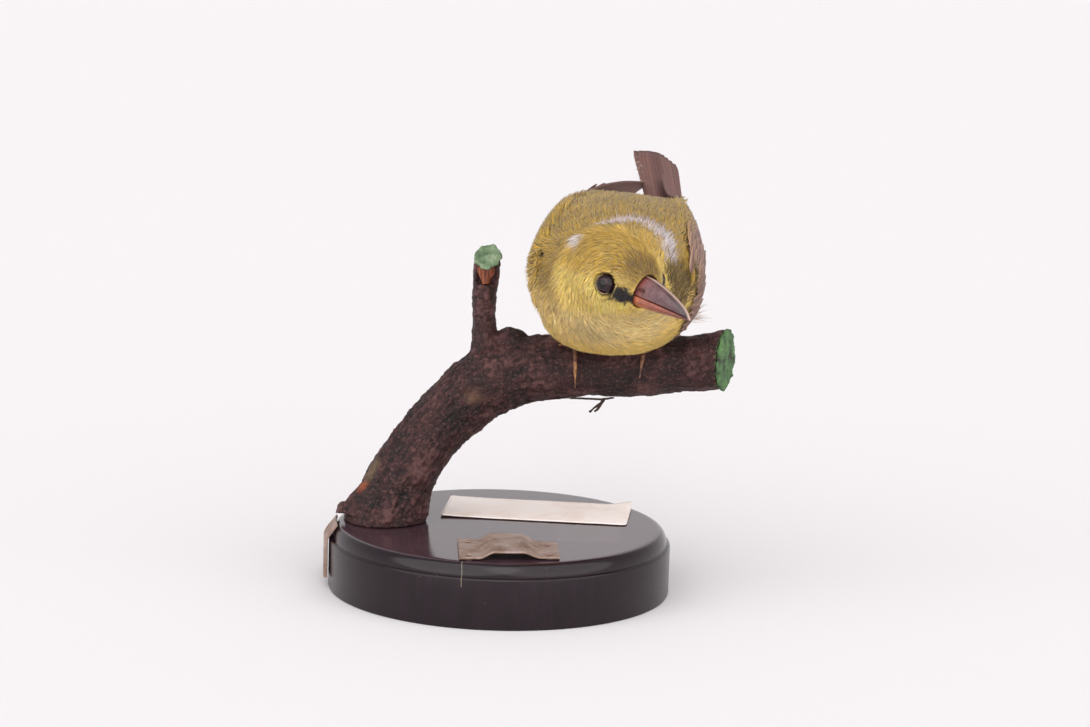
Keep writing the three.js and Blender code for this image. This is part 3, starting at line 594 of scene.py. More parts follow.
def makeBranch():
    bm = withModifiers(cadShape("branch", "twig"), ("REMESH", dict(mode="VOXEL", voxel_size=bark["voxel"])),
                       ("SMOOTH", dict(factor=0.5, iterations=3)))
    bm.normal_update()
    endAway = Vector((math.cos(math.radians(bark["endTurn"])), math.sin(math.radians(bark["endTurn"])), 0))
    endAt = Vector(bark["endAt"]) * mm
    points = np.array([vert.co for vert in bm.verts])
    along, around = barkPlaces(points)
    relief, paint = [], []
    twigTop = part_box("twig_paint")[1].z
    for index, vert in enumerate(bm.verts):
        a, r = along[index], around[index]
        twig = vert.co.z > bark["twigFrom"] + 8 * mm and vert.co.x < 0
        rough = 1 - 0.55 * smoothStep(a, 88, 120)  # the level stretch is smoother
        at = vert.co / mm
        lump = noise.fractal(at * 0.085, 0.9, 2.0, 3)
        ridge = 1 - abs(noise.fractal(Vector((a * 0.07, r * 0.42, 3.0)), 0.9, 2.0, 3)) * 2
        wart = noise.fractal(at * 0.5, 0.75, 2.1, 4)
        collars = noise.noise(Vector((a * 0.5, r * 0.04, 9.0)))
        push = bark["lumps"] * lump + bark["grain"] * rough * (ridge - 0.5) + bark["warts"] * rough * wart
        push += 0.16 * mm * collars
        flat = smoothStep(abs(vert.normal.dot(endAway)), 0.75, 0.95) * (a > 150)
        if vert.co.z < 28 * mm:
            push *= 0.4
        if twig:
            push *= 0.8
        # the relief also darkens the bark's colour in its furrows, as painted shade
        relief.append(float(np.clip(0.5 + (push / mm) * 0.62 + 0.2 * wart, 0, 1)))
        endGap = (endAt - vert.co).dot(endAway)
        topGap = (twigTop - vert.co.z) if twig else 1
        paint.append(float(max(0.62 - endGap / (5.5 * mm), 0.62 - topGap / (9 * mm) if twig else 0, 0)))
        vert.co += vert.normal * push * (1 - flat)
        if 29.5 < at.z < 42 and at.x < -50 and vert.normal.x < 0:  # a torn heel slopes down to the base
            heel = min(0, -57 - (42 - at.z) * 0.86 - at.x) * smoothStep(-vert.normal.x, 0, 0.5)
            vert.co.x += 0.85 * mm * heel * math.exp(-((at.y + 1) / 5) ** 2)
    piece = makePiece("barkedBranch", bm, barkMaterial(), ["branch", "twig"])
    for name, values in (("relief", relief), ("along", along), ("around", around), ("paint", paint)):
        addAttribute(piece.data, name, values)

    paints = (("branch_end_paint", "paintedEnd", ("#2C2018", "#3C5A36", "#5E864A")),
              ("twig_paint", "paintedTwigTop", ("#42573A", "#5F7655", "#8A9A7A")))
    for node, name, colours in paints:
        cap = withModifiers(cadShape(node), ("REMESH", dict(mode="VOXEL", voxel_size=0.35 * mm)),
                            ("SMOOTH", dict(factor=0.5, iterations=2)))
        cap.normal_update()
        for vert in cap.verts:
            vert.co += vert.normal * 0.7 * mm * noise.fractal(vert.co / mm * 0.4, 0.9, 2.0, 4)
        makePiece(name, cap, endPaint(name + "Coat", colours), [node])

    sliver = withModifiers(cadShape("twig_bare_wood"), ("REMESH", dict(mode="VOXEL", voxel_size=0.3 * mm)))
    sliver.normal_update()
    low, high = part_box("twig_bare_wood")
    for vert in sliver.verts:  # torn to a point at its foot
        at = vert.co / mm
        taper = 0.4 + 0.6 * smoothStep((vert.co.z - low.z) / (high.z - low.z), 0.0, 0.75)
        vert.co.x = (low.x + high.x) / 2 + (vert.co.x - (low.x + high.x) / 2) * taper
        vert.co += vert.normal * 0.3 * mm * noise.fractal(Vector((at.x * 1.2, at.y, at.z * 0.2)), 0.9,
                                                          2.0, 3)
    makePiece("bareSplitWood", sliver, splitWood(), ["twig_bare_wood"])


makeBranch()


def makeWire():  # soft iron wire, blackened in the fire: dark, dull and a little brown with rust
    material, tree, shader = newMaterial("dark annealed iron wire", 0.45, Metallic=0.7)
    place = addNode(tree, "ShaderNodeTexCoord").outputs["Object"]
    patch = addNode(tree, "ShaderNodeTexNoise", {"Vector": place, "Scale": 700.0, "Detail": 4.0})
    tone = addNode(tree, "ShaderNodeValToRGB", {"Fac": patch.outputs["Fac"]}, stops=[
        (0.35, linear("#1C1718")), (0.65, linear("#4A3A34"))])
    tree.links.new(tone.outputs["Color"], shader.inputs["Base Color"])
    wire = withModifiers(cadShape("perch_wire"), ("REMESH", dict(mode="VOXEL", voxel_size=0.16 * mm)),
                         ("SMOOTH", dict(factor=0.5, iterations=4)))
    bed = BVHTree.FromObject(bpy.data.objects["barkedBranch"], bpy.context.evaluated_depsgraph_get())
    for vert in wire.verts:  # drawn up tight to the bark
        near, normal, index, far = bed.find_nearest(vert.co)
        vert.co += (near - vert.co).normalized() * max(0, min(far - 0.3 * mm, 1.1 * mm))
    makePiece("twistedWire", wire, material, ["perch_wire"])


makeWire()
print("branch and wire made")


# The bird's own lines: its trunk's and its head's directions (left, back, up) and places

bird = dict(trunkAt=(43.2, -10, 131.2), trunkYaw=-9, trunkPitch=10.4, billDroop=8.15,
            eyeX=13.4, eyeY=-5.5, eyeZ=1.0)
rng = np.random.default_rng(7)


def unit(vectors):
    return vectors / np.maximum(np.linalg.norm(vectors, axis=-1, keepdims=True), 1e-9)


def headLines():
    rightEye = sum(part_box("eye_right"), Vector()) / 2
    leftEye = sum(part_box("eye_left"), Vector()) / 2
    middle = (rightEye + leftEye) / 2
    across = (leftEye - rightEye).normalized()
    billPoints = nodePoints("bill_upper")
    tip = Vector(billPoints[np.argmax(np.linalg.norm(billPoints - np.array(middle), axis=1))])
    back = middle - tip
    back = (back - across * back.dot(across)).normalized()
    up = across.cross(back)
    a = math.radians(bird["billDroop"])
    back, up = back * math.cos(a) - up * math.sin(a), back * math.sin(a) + up * math.cos(a)
    at = middle - back * bird["eyeY"] * mm - up * bird["eyeZ"] * mm
    return np.array(at), np.array([across, back, up]).T


headAt, headAxes = headLines()
trunkAt = np.array(bird["trunkAt"]) * mm
trunkAxes = np.array(Matrix.Rotation(math.radians(bird["trunkYaw"]), 3, "Z")
                     @ Matrix.Rotation(math.radians(bird["trunkPitch"]), 3, "X"))


def inHead(points):  # millimetres left, back and up of the head's middle
    return (points - headAt) @ headAxes / mm


def inTrunk(points):
    return (points - trunkAt) @ trunkAxes / mm


def fromTrunk(points):
    return np.asarray(points) * mm @ trunkAxes.T + trunkAt


def fromHead(points):
    return np.asarray(points) * mm @ headAxes.T + headAt


def softNoise(points, size, seed=0.0, octaves=3):  # smooth noise at many points
    return np.array([noise.fractal(Vector(p) / size + Vector((seed, seed, seed)), 0.9, 2.0, octaves)
                     for p in points])


def farFromLine(points, line):  # distance to a run of straight pieces
    line = np.asarray(line, dtype=float)
    best = np.full(len(points), 1e9)
    for start, end in zip(line[:-1], line[1:]):
        step = end - start
        t = np.clip((points - start) @ step / (step @ step), 0, 1)
        best = np.minimum(best, np.linalg.norm(points - start - t[:, None] * step, axis=1))
    return best


# Markings, shared by the skin and the coat

marks = dict(
    mantle="#B9953C", mantleDark="#9A7634", crown="#D2AA48", forehead="#745626", face="#FAD672",
    throat="#F0D088", breast="#EFCB78", belly="#ECC458", cheek="#FAD670", rump="#C8A548",
    lores="#1D1413", down="#E9DFDE", lilac="#B8A2A6", duskyPatchesAndFoldShade="#7A5C34",
    crease=[(-3, -12, 27), (4, -7, 27), (10, -5.5, 25.5), (17, -6.4, 22.3), (21.4, -11.7, 17.2),
            (24.4, -17.3, 10.9)],
    nick=[(-4, 22, 12.8), (-9, 16, 13.6)],
    # the fold's line is darkened in the colour as painted shade
    fold=[(-23.1, -16.4, 13.9), (-24.8, -19, 9.5), (-23.5, -25, 6.5), (-21.2, -30, 5)],
    loresLine=[(14.2, -8.6, -0.6), (12, -13, -1.2), (7.8, -16.3, -3.2)],
)


def markings(points):
    h, t = inHead(points), inTrunk(points)
    colour = {name: np.array(linear(value)[:3]) for name, value in marks.items() if isinstance(value, str)}
    broad = softNoise(points, 0.016, 3.0)[:, None]
    fine = softNoise(points, 0.004, 8.0)[:, None]

    def blend(under, name, amount):
        return under + (colour[name] - under) * np.clip(amount, 0, 1)[:, None]

    made = np.tile(colour["mantle"], (len(points), 1))
    made = blend(made, "mantleDark", smoothStep(fine[:, 0], 0.0, 0.5) * 0.75)
    made = blend(made, "rump", smoothStep(t[:, 1], 30, 60))
    under = smoothStep(-t[:, 2] + 5 * broad[:, 0], -12, 6)
    made = blend(made, "breast", under)
    made = blend(made, "belly", smoothStep(-t[:, 2] + 4 * broad[:, 0], 8, 20))
    fromHeadMiddle = np.linalg.norm(h * (1, 0.85, 1), axis=1)
    onHead = 1 - smoothStep(fromHeadMiddle + 3 * broad[:, 0], 21, 26)
    made = blend(made, "face", onHead)
    made = blend(made, "crown", onHead * smoothStep(h[:, 2], 3, 9))
    made = blend(made, "throat", smoothStep(-h[:, 2], 8, 14) * (1 - smoothStep(fromHeadMiddle, 22, 34)))
    brow = np.linalg.norm((h - (-2, -15, 7)) / (12, 8, 8), axis=1)
    made = blend(made, "forehead", (1 - smoothStep(brow + 0.3 * fine[:, 0], 0.4, 1.35)) * 0.75)
    cheek = np.linalg.norm((np.abs(h) * (1, 0, 0) + h * (0, 1, 1) - (15, 3, -5)) / (8, 11, 7), axis=1)
    made = blend(made, "cheek", (1 - smoothStep(cheek, 0.5, 1.2)) * 0.7)
    made = blend(made, "duskyPatchesAndFoldShade", smoothStep(fine[:, 0] + 0.4 * broad[:, 0], 0.35, 0.8) * 0.3)
    crease = farFromLine(t, marks["crease"]) + 1.2 * fine[:, 0]
    made = blend(made, "lilac", (1 - smoothStep(crease + 1.2 * broad[:, 0], 1.5, 2.8)) * 0.85)
    made = blend(made, "down", (1 - smoothStep(crease + 2.2 * broad[:, 0], 0.4, 1.5)) * 0.85)
    nick = farFromLine(h, marks["nick"]) + fine[:, 0]
    made = blend(made, "down", (1 - smoothStep(nick, 1.8, 3.2)) * 0.85)
    # painted shade: a darker line along the fold on the bird's right side
    fold = farFromLine(t, marks["fold"]) + 0.8 * fine[:, 0]
    made = blend(made, "duskyPatchesAndFoldShade", (1 - smoothStep(fold, 0.3, 2.2)) * 0.35)
    mirrored = np.column_stack([np.abs(h[:, 0]), h[:, 1], h[:, 2]])
    lores = farFromLine(mirrored, marks["loresLine"]) + 0.7 * fine[:, 0]
    made = blend(made, "lores", 1 - smoothStep(lores, 2.5, 3.6))
    return np.clip(made * (1 + 0.16 * broad), 0.004, 0.95)


def plumageMaterial(name, sheen=0.25):  # dry feather: matt, faintly silky, streaked by its barbs
    material, tree, shader = newMaterial(name, 0.72, Sheen_Weight=sheen, Sheen_Roughness=0.45)
    shade = addNode(tree, "ShaderNodeAttribute", attribute_name="feather")
    barb = addNode(tree, "ShaderNodeUVMap", uv_map="barbs")
    stretched = addNode(tree, "ShaderNodeMapping", {"Vector": barb.outputs[0], "Scale": (7.0, 1.6, 1.0)})
    streak = addNode(tree, "ShaderNodeTexNoise", {"Vector": stretched.outputs[0], "Scale": 1.0,
                                                  "Detail": 3.0,
                                                  "Roughness": 0.6})
    level = addNode(tree, "ShaderNodeMapRange", {"Value": streak.outputs["Fac"], "From Min": 0.3,
                                                 "From Max": 0.7,
                                                 "To Min": 0.7, "To Max": 1.22})
    tinted = addNode(tree, "ShaderNodeVectorMath", {0: shade.outputs["Color"], "Scale": level.outputs[0]},
                     operation="SCALE")
    bump = addNode(tree, "ShaderNodeBump", {"Height": streak.outputs["Fac"], "Strength": 0.35,
                                            "Distance": 0.15 * mm})
    tree.links.new(tinted.outputs[0], shader.inputs["Base Color"])
    tree.links.new(bump.outputs[0], shader.inputs["Normal"])
    return material


# the dried skin and short down that show between feathers: the feathers' colours, darker
def skinMaterial():
    material, tree, shader = newMaterial("feathered skin", 0.85)
    shade = addNode(tree, "ShaderNodeAttribute", attribute_name="feather")
    place = addNode(tree, "ShaderNodeTexCoord").outputs["Object"]
    fluff = addNode(tree, "ShaderNodeTexNoise", {"Vector": place, "Scale": 1100.0, "Detail": 4.0})
    level = addNode(tree, "ShaderNodeMapRange", {"Value": fluff.outputs["Fac"], "To Min": 0.66,
                                                 "To Max": 1.05})
    tinted = addNode(tree, "ShaderNodeVectorMath", {0: shade.outputs["Color"], "Scale": level.outputs[0]},
                     operation="SCALE")
    tree.links.new(tinted.outputs[0], shader.inputs["Base Color"])
    return material


# Wing surfaces: a folded wing's outer face laid out from the CAD wing

wing = dict(rows=64, columns=15, axis=(6.0, 3.0), core=1.0 * mm, thick=0.8 * mm,
            brown="#6C4E47", edge="#8C6E63", buff="#8E7262", tip="#70524C")


def wingSurface(name, side):  # points over the outer face: rows from bend to tip, columns from top down
    bm = cadShape(name)
    tree = BVHTree.FromBMesh(bm)
    bm.free()
    t = inTrunk(nodePoints(name))
    rows = np.linspace(t[:, 1].min() + 0.8, t[:, 1].max() - 0.6, wing["rows"])
    angles = np.radians(np.linspace(-100, 125, 226))
    grid = np.zeros((wing["rows"], wing["columns"], 3))

    def cast(y, angle):
        outward = trunkAxes @ np.array([side * math.cos(angle), 0, math.sin(angle)])
        axis = fromTrunk((-side * wing["axis"][0], y, wing["axis"][1]))
        return tree.ray_cast(Vector(axis + outward * 0.09), Vector(-outward), 0.09)[0]

    for row, y in enumerate(rows):
        struck = [angle for angle in angles if cast(y, angle)]
        for column in range(wing["columns"]):
            share = column / (wing["columns"] - 1)
            found = cast(y, struck[-1] + (struck[0] - struck[-1]) * share) if struck else None
            grid[row, column] = found if found else grid[row - 1, column]
    for turn in range(3):
        inner = grid.copy()
        inner[1:-1] = (grid[:-2] + 2 * grid[1:-1] + grid[2:]) / 4
        grid = inner
    facing = np.cross(np.gradient(grid, axis=0), np.gradient(grid, axis=1))
    middle = fromTrunk(np.column_stack([np.full(len(rows), -side * wing["axis"][0]), rows,
                                        np.full(len(rows), wing["axis"][1])]))
    outward = np.sign(np.sum(facing * (grid - middle[:, None]), axis=2))
    return grid, unit(facing * outward[..., None])


def onGrid(grid, s, t):  # a point between the grid's points; s runs along the wing and t down it
    a = np.clip(s, 0, 1) * (grid.shape[0] - 1)
    b = np.clip(t, 0, 1) * (grid.shape[1] - 1)
    i, j = np.minimum(a.astype(int), grid.shape[0] - 2), np.minimum(b.astype(int), grid.shape[1] - 2)
    a, b = (a - i)[..., None], (b - j)[..., None]
    return ((1 - a) * (1 - b) * grid[i, j] + a * (1 - b) * grid[i + 1, j]
            + (1 - a) * b * grid[i, j + 1] + a * b * grid[i + 1, j + 1])


wingSurfaces = {name: wingSurface(name, side) for name, side in (("wing_left", 1), ("wing_right", -1))}


def gridTree(surface):
    grid = surface[0]
    rows, columns = grid.shape[:2]
    faces = [(r * columns + c, r * columns + c + 1, (r + 1) * columns + c + 1, (r + 1) * columns + c)
             for r in range(rows - 1) for c in range(columns - 1)]
    return BVHTree.FromPolygons([Vector(p) for p in grid.reshape(-1, 3)], faces)


def soften(side, s, t):  # how far soft olive feathers hide a folded wing there: 1 all, 0 none
    if side > 0:
        shoulder = smoothStep(s, 0.03, 0.2) * (1 - smoothStep(s, 0.46, 0.56))
        return shoulder * (1 - smoothStep(t, 0.0, 0.07))
    return (1 - smoothStep(s, 0.26, 0.36)) * (1 - smoothStep(t, 0.86, 0.96)) + (
        1 - smoothStep(s, 0.3, 0.42)) * (1 - smoothStep(t, 0.2, 0.4))


# Skin: the trunk, neck, head and the fronts of the wings as one surface, the coat's depth inside them

coat = dict(depth=1.5 * mm, voxel=1.1 * mm, close=0.35 * mm, candidates=520000, cell=0.70 * mm,
            limit=9000, patch=0.003, leftWing=58.0, rightWing=40.0,
            massFrom=-12, massTo=44)


def largestPart(bm):
    left = set(bm.verts)
    best = set()
    while left:
        stack = [left.pop()]
        island = set(stack)
        while stack:
            for edge in stack.pop().link_edges:
                for other in edge.verts:
                    if other not in island:
                        island.add(other)
                        stack.append(other)
        left -= island
        if len(island) > len(best):
            best = island
    bmesh.ops.delete(bm, geom=[vert for vert in bm.verts if vert not in best], context="VERTS")
    return bm


def shoulderMass(bm):  # the plump feathers' bed between the back and the wings' upper edges
    places = [nodePoints("trunk")] + [grid.reshape(-1, 3) for grid, facing in wingSurfaces.values()]
    places = np.concatenate(places)
    t = inTrunk(places)
    for start in range(coat["massFrom"], coat["massTo"], 4):
        inside = places[(t[:, 1] >= start) & (t[:, 1] <= start + 10)]
        slab = bmesh.new()
        verts = [slab.verts.new(point) for point in inside]
        hull = bmesh.ops.convex_hull(slab, input=verts)
        loose = {part for key in ("geom_interior", "geom_unused") for part in hull[key]}
        strays = [part for part in loose if isinstance(part, bmesh.types.BMVert)]
        bmesh.ops.delete(slab, geom=strays, context="VERTS")
        bmesh.ops.recalc_face_normals(slab, faces=slab.faces)
        mesh = bpy.data.meshes.new("slab")
        slab.to_mesh(mesh)
        slab.free()
        bm.from_mesh(mesh)


def makeSkin():
    flesh = cadShape("trunk", "neck", "head")
    shoulderMass(flesh)
    for name, reach in (("wing_left", coat["leftWing"]), ("wing_right", coat["rightWing"])):
        front = cutAway(cadShape(name), fromTrunk((0, reach, 0)), trunkAxes[:, 1])
        mesh = bpy.data.meshes.new("front")
        front.to_mesh(mesh)
        flesh.from_mesh(mesh)
    flesh.normal_update()
    for vert in flesh.verts:
        vert.co += vert.normal * coat["close"]
    flesh = withModifiers(flesh, ("REMESH", dict(mode="VOXEL", voxel_size=coat["voxel"])),
                          ("SMOOTH", dict(factor=0.5, iterations=16)))
    flesh = largestPart(flesh)
    flesh.normal_update()
    for vert in flesh.verts:
        vert.co -= vert.normal * (coat["depth"] + coat["close"])
    flesh = withModifiers(flesh, ("SMOOTH", dict(factor=0.5, iterations=4)))
    flesh.normal_update()
    tree = BVHTree.FromBMesh(flesh)
    piece = makePiece("birdSkin", flesh, skinMaterial(), ["trunk", "neck", "head"])
    points = np.empty(len(piece.data.vertices) * 3)
    piece.data.vertices.foreach_get("co", points)
    addColours(piece.data, "feather", markings(points.reshape(-1, 3)))
    return piece, tree


skin, skinTree = makeSkin()
print("skin made")


# Vanes: one small closed feather, repeated over the skin

def vaneShape(levels):  # a flattened pointed body: across, level and height of each corner, and its faces
    bm = bmesh.new()
    bmesh.ops.create_cone(bm, cap_ends=True, segments=4, radius1=1, radius2=0.001, depth=1)
    bmesh.ops.remove_doubles(bm, verts=bm.verts, dist=0.01)
    for level in levels[1:-1]:
        bmesh.ops.bisect_plane(bm, geom=bm.verts[:] + bm.edges[:] + bm.faces[:],
                               plane_co=(0, 0, level - 0.5), plane_no=(0, 0, 1))
    bmesh.ops.triangulate(bm, faces=bm.faces)
    return shapeFrom(bm, levels, lambda co: (-co.x, co.z + 0.5, co.y))


def featherShape(across, along):  # a thin closed blade for quills and coverts
    bm = bmesh.new()
    bmesh.ops.create_grid(bm, x_segments=across, y_segments=along, size=0.5)
    bmesh.ops.solidify(bm, geom=bm.faces[:], thickness=0.5)
    bmesh.ops.recalc_face_normals(bm, faces=bm.faces)
    bmesh.ops.triangulate(bm, faces=bm.faces)
    middle = sum(vert.co.z for vert in bm.verts) / len(bm.verts)
    levels = [step / along for step in range(along + 1)]
    return shapeFrom(bm, levels, lambda co: (2 * co.x, co.y + 0.5, math.copysign(1, co.z - middle)))


def shapeFrom(bm, levels, place):
    bm.verts.index_update()
    rows = np.array([place(vert.co) for vert in bm.verts])
    faces = np.array([[vert.index for vert in face.verts] for face in bm.faces])
    bm.free()
    level = np.argmin(np.abs(rows[:, 1:2] - np.array(levels)), axis=1)
    across, height = rows[:, 0], rows[:, 2]
    return dict(across=across, height=height, level=level, along=np.array(levels)[level], faces=faces)


def tile(shape, spines, normals, widths, lifts, thick, droop=0.25):  # every corner of every feather
    tangents = unit(np.gradient(spines, axis=1))
    sides = unit(np.cross(tangents, normals))
    ups = np.cross(sides, tangents)
    level, across = shape["level"], shape["across"]
    wide = widths[:, level] * across
    high = lifts[:, level] + thick[:, None] * shape["height"] - droop * np.abs(wide) * np.abs(across)
    return spines[:, level] + sides[:, level] * wide[..., None] + ups[:, level] * high[..., None]


def tiledMesh(name, shape, points, colours, patches, barbShift):
    count, corners = points.shape[:2]
    faces = (shape["faces"][None] + np.arange(count)[:, None, None] * corners).reshape(-1, 3)
    mesh = bpy.data.meshes.new(name)
    mesh.vertices.add(count * corners)
    mesh.vertices.foreach_set("co", points.astype(np.float32).ravel())
    mesh.loops.add(len(faces) * 3)
    mesh.loops.foreach_set("vertex_index", faces.astype(np.int32).ravel())
    mesh.polygons.add(len(faces))
    mesh.polygons.foreach_set("loop_start", np.arange(0, len(faces) * 3, 3, dtype=np.int32))
    mesh.update(calc_edges=True)
    addColours(mesh, "feather", colours.reshape(-1, 3))
    spot = np.stack([shape["across"] * 0.5, shape["along"] - 0.5], axis=1) * coat["patch"]
    bake = (patches[:, None] + spot[None]).reshape(-1, 2)
    barb = np.stack([shape["across"] * 0.5 + barbShift[:, None], np.tile(shape["along"], (count, 1))],
                    axis=2)
    for layer, values in (("OFBake", bake), ("barbs", barb.reshape(-1, 2))):
        made = mesh.uv_layers.new(name=layer)
        made.data.foreach_set("uv", values[faces.ravel()].astype(np.float32).ravel())
    return mesh


def onUnwrap(points):  # a root's place on the skin unrolled round the trunk's own axis
    t = inTrunk(points)
    turn = np.arctan2(t[:, 0], -t[:, 2]) / (2 * math.pi) + 0.5
    along = (t[:, 1] + 75) / 240
    return np.clip(np.column_stack([turn, along]), 0.01, 0.99)


def onSkin(points, tree):
    found = [tree.find_nearest(Vector(p)) for p in points]
    return np.array([hit[0] for hit in found]), np.array([hit[1] for hit in found])


def scatter(mesh, count, cell):  # random roots over a surface, thinned to an even spacing
    mesh.calc_loop_triangles()
    points = np.empty(len(mesh.vertices) * 3)
    mesh.vertices.foreach_get("co", points)
    points = points.reshape(-1, 3)
    triangles = np.empty(len(mesh.loop_triangles) * 3, dtype=np.int32)
    mesh.loop_triangles.foreach_get("vertices", triangles)
    corners = points[triangles.reshape(-1, 3)]
    crossed = np.cross(corners[:, 1] - corners[:, 0], corners[:, 2] - corners[:, 0])
    area = np.linalg.norm(crossed, axis=1)
    chosen = rng.choice(len(area), count, p=area / area.sum())
    a, b = rng.random(count), rng.random(count)
    over = a + b > 1
    a, b = np.where(over, 1 - a, a), np.where(over, 1 - b, b)
    tri = corners[chosen]
    roots = tri[:, 0] + a[:, None] * (tri[:, 1] - tri[:, 0]) + b[:, None] * (tri[:, 2] - tri[:, 0])
    cells = np.floor(roots / cell).astype(np.int64)
    kept = np.unique(cells, axis=0, return_index=True)[1]
    return roots[kept], unit(crossed)[chosen][kept]


lieOf = dict(billBase=(0, -15, -1), swirlFrom=7, swirlTo=21, swirl=1.75, wave=0.4, jitter=0.2)


def lieAt(points, normals, wander=0.0):  # how the feathers point: away from the bill, round the face, back
    h, t = inHead(points), inTrunk(points)
    fromBill = h - np.array(lieOf["billBase"])
    reach = np.linalg.norm(fromBill, axis=1)
    away = unit(fromBill) @ headAxes.T
    facing = -unit(headAxes[:, 1] + trunkAxes[:, 1])
    ringed = unit(np.cross(facing, points - headAt))
    back = trunkAxes[:, 1]
    swirled = smoothStep(reach, lieOf["swirlFrom"], lieOf["swirlTo"]) * (1 - smoothStep(t[:, 1], -22, -2))
    swirled *= 1 - 0.75 * smoothStep(h[:, 0], 2, 14) * smoothStep(h[:, 2], -12, -2)
    near = 1 - smoothStep(reach, 9, 30)
    behind = smoothStep(t[:, 1], -30, -6)
    swirled = lieOf["swirl"] * swirled
    flow = away * (0.25 + near)[:, None] + ringed * swirled[:, None] + back * (behind + 0.12)[:, None]
    flow -= normals * np.sum(flow * normals, axis=1, keepdims=True)
    flow = unit(flow)
    sides = np.cross(normals, flow)
    wander = np.asarray(wander)
    flow = flow * np.cos(wander)[..., None] + sides * np.sin(wander)[..., None]
    return unit(flow)


def lengthAt(points):  # vane length and half width, in millimetres
    h, t = inHead(points), inTrunk(points)
    reach = np.linalg.norm(h - np.array(lieOf["billBase"]), axis=1)
    length = 1.5 + 2.6 * smoothStep(reach, 2, 18) + 2.0 * smoothStep(reach, 18, 36)
    under = 1.5 * smoothStep(-t[:, 2], 5, 20) * smoothStep(t[:, 1], -28, 0)
    length += 2.2 * smoothStep(t[:, 1], -20, 20) + under
    half = 0.25 + 0.26 * smoothStep(reach, 4, 44) + 0.22 * smoothStep(t[:, 1], -15, 25)
    return length, half


vane = vaneShape([0, 0.35, 0.75, 1])
vaneProfile = np.array([0.45, 1.0, 0.8, 0.0])
vaneRise = np.array([0.0, 0.45, 0.82, 1.0])


def combed(roots, normals, tree, length, wander):  # spines that follow the surface along its lie
    first = lieAt(roots, normals, wander)
    middle, middleNormals = onSkin(roots + first * (length * 0.5)[:, None], tree)
    second = lieAt(middle, middleNormals, wander)
    ends, endNormals = onSkin(middle + second * (length * 0.5)[:, None], tree)
    spines, faces = [], []
    for v in (0, 0.35, 0.75, 1):
        a, b, c = (1 - v) * (1 - 2 * v), 4 * v * (1 - v), v * (2 * v - 1)
        spines.append(a * roots + b * middle + c * ends)
        faces.append((1 - v) * normals + v * endNormals)
    return np.stack(spines, axis=1), unit(np.stack(faces, axis=1))


featherCoat = plumageMaterial("contour feathers")


def layVanes(name, roots, normals, tree, length, half, colour, rise, wander, start=0.0, root=0.74):
    spines, faces = combed(roots, normals, tree, length * mm, wander)
    count = len(roots)
    widths = (half * mm)[:, None] * vaneProfile[None]
    lifts = (np.asarray(rise) * mm)[:, None] * vaneRise[None] + start * mm
    points = tile(vane, spines, faces, widths, lifts, np.full(count, 0.09 * mm))
    along = vane["along"][None, :, None]
    edge = (np.abs(vane["across"]) > 0.5)[None, :, None]
    # each vane darkens towards its root: partly its grey down, partly painted shade under the vanes that
    # lie over it
    tone = colour[:, None] * (root + (1.08 - root) * along) * np.where(edge, 1.06, 0.97)
    mesh = tiledMesh(name, vane, points, np.clip(tone, 0, 1), onUnwrap(roots),
                     rng.integers(0, 60, count) * 1.37)
    return finishPiece(name, mesh, featherCoat)


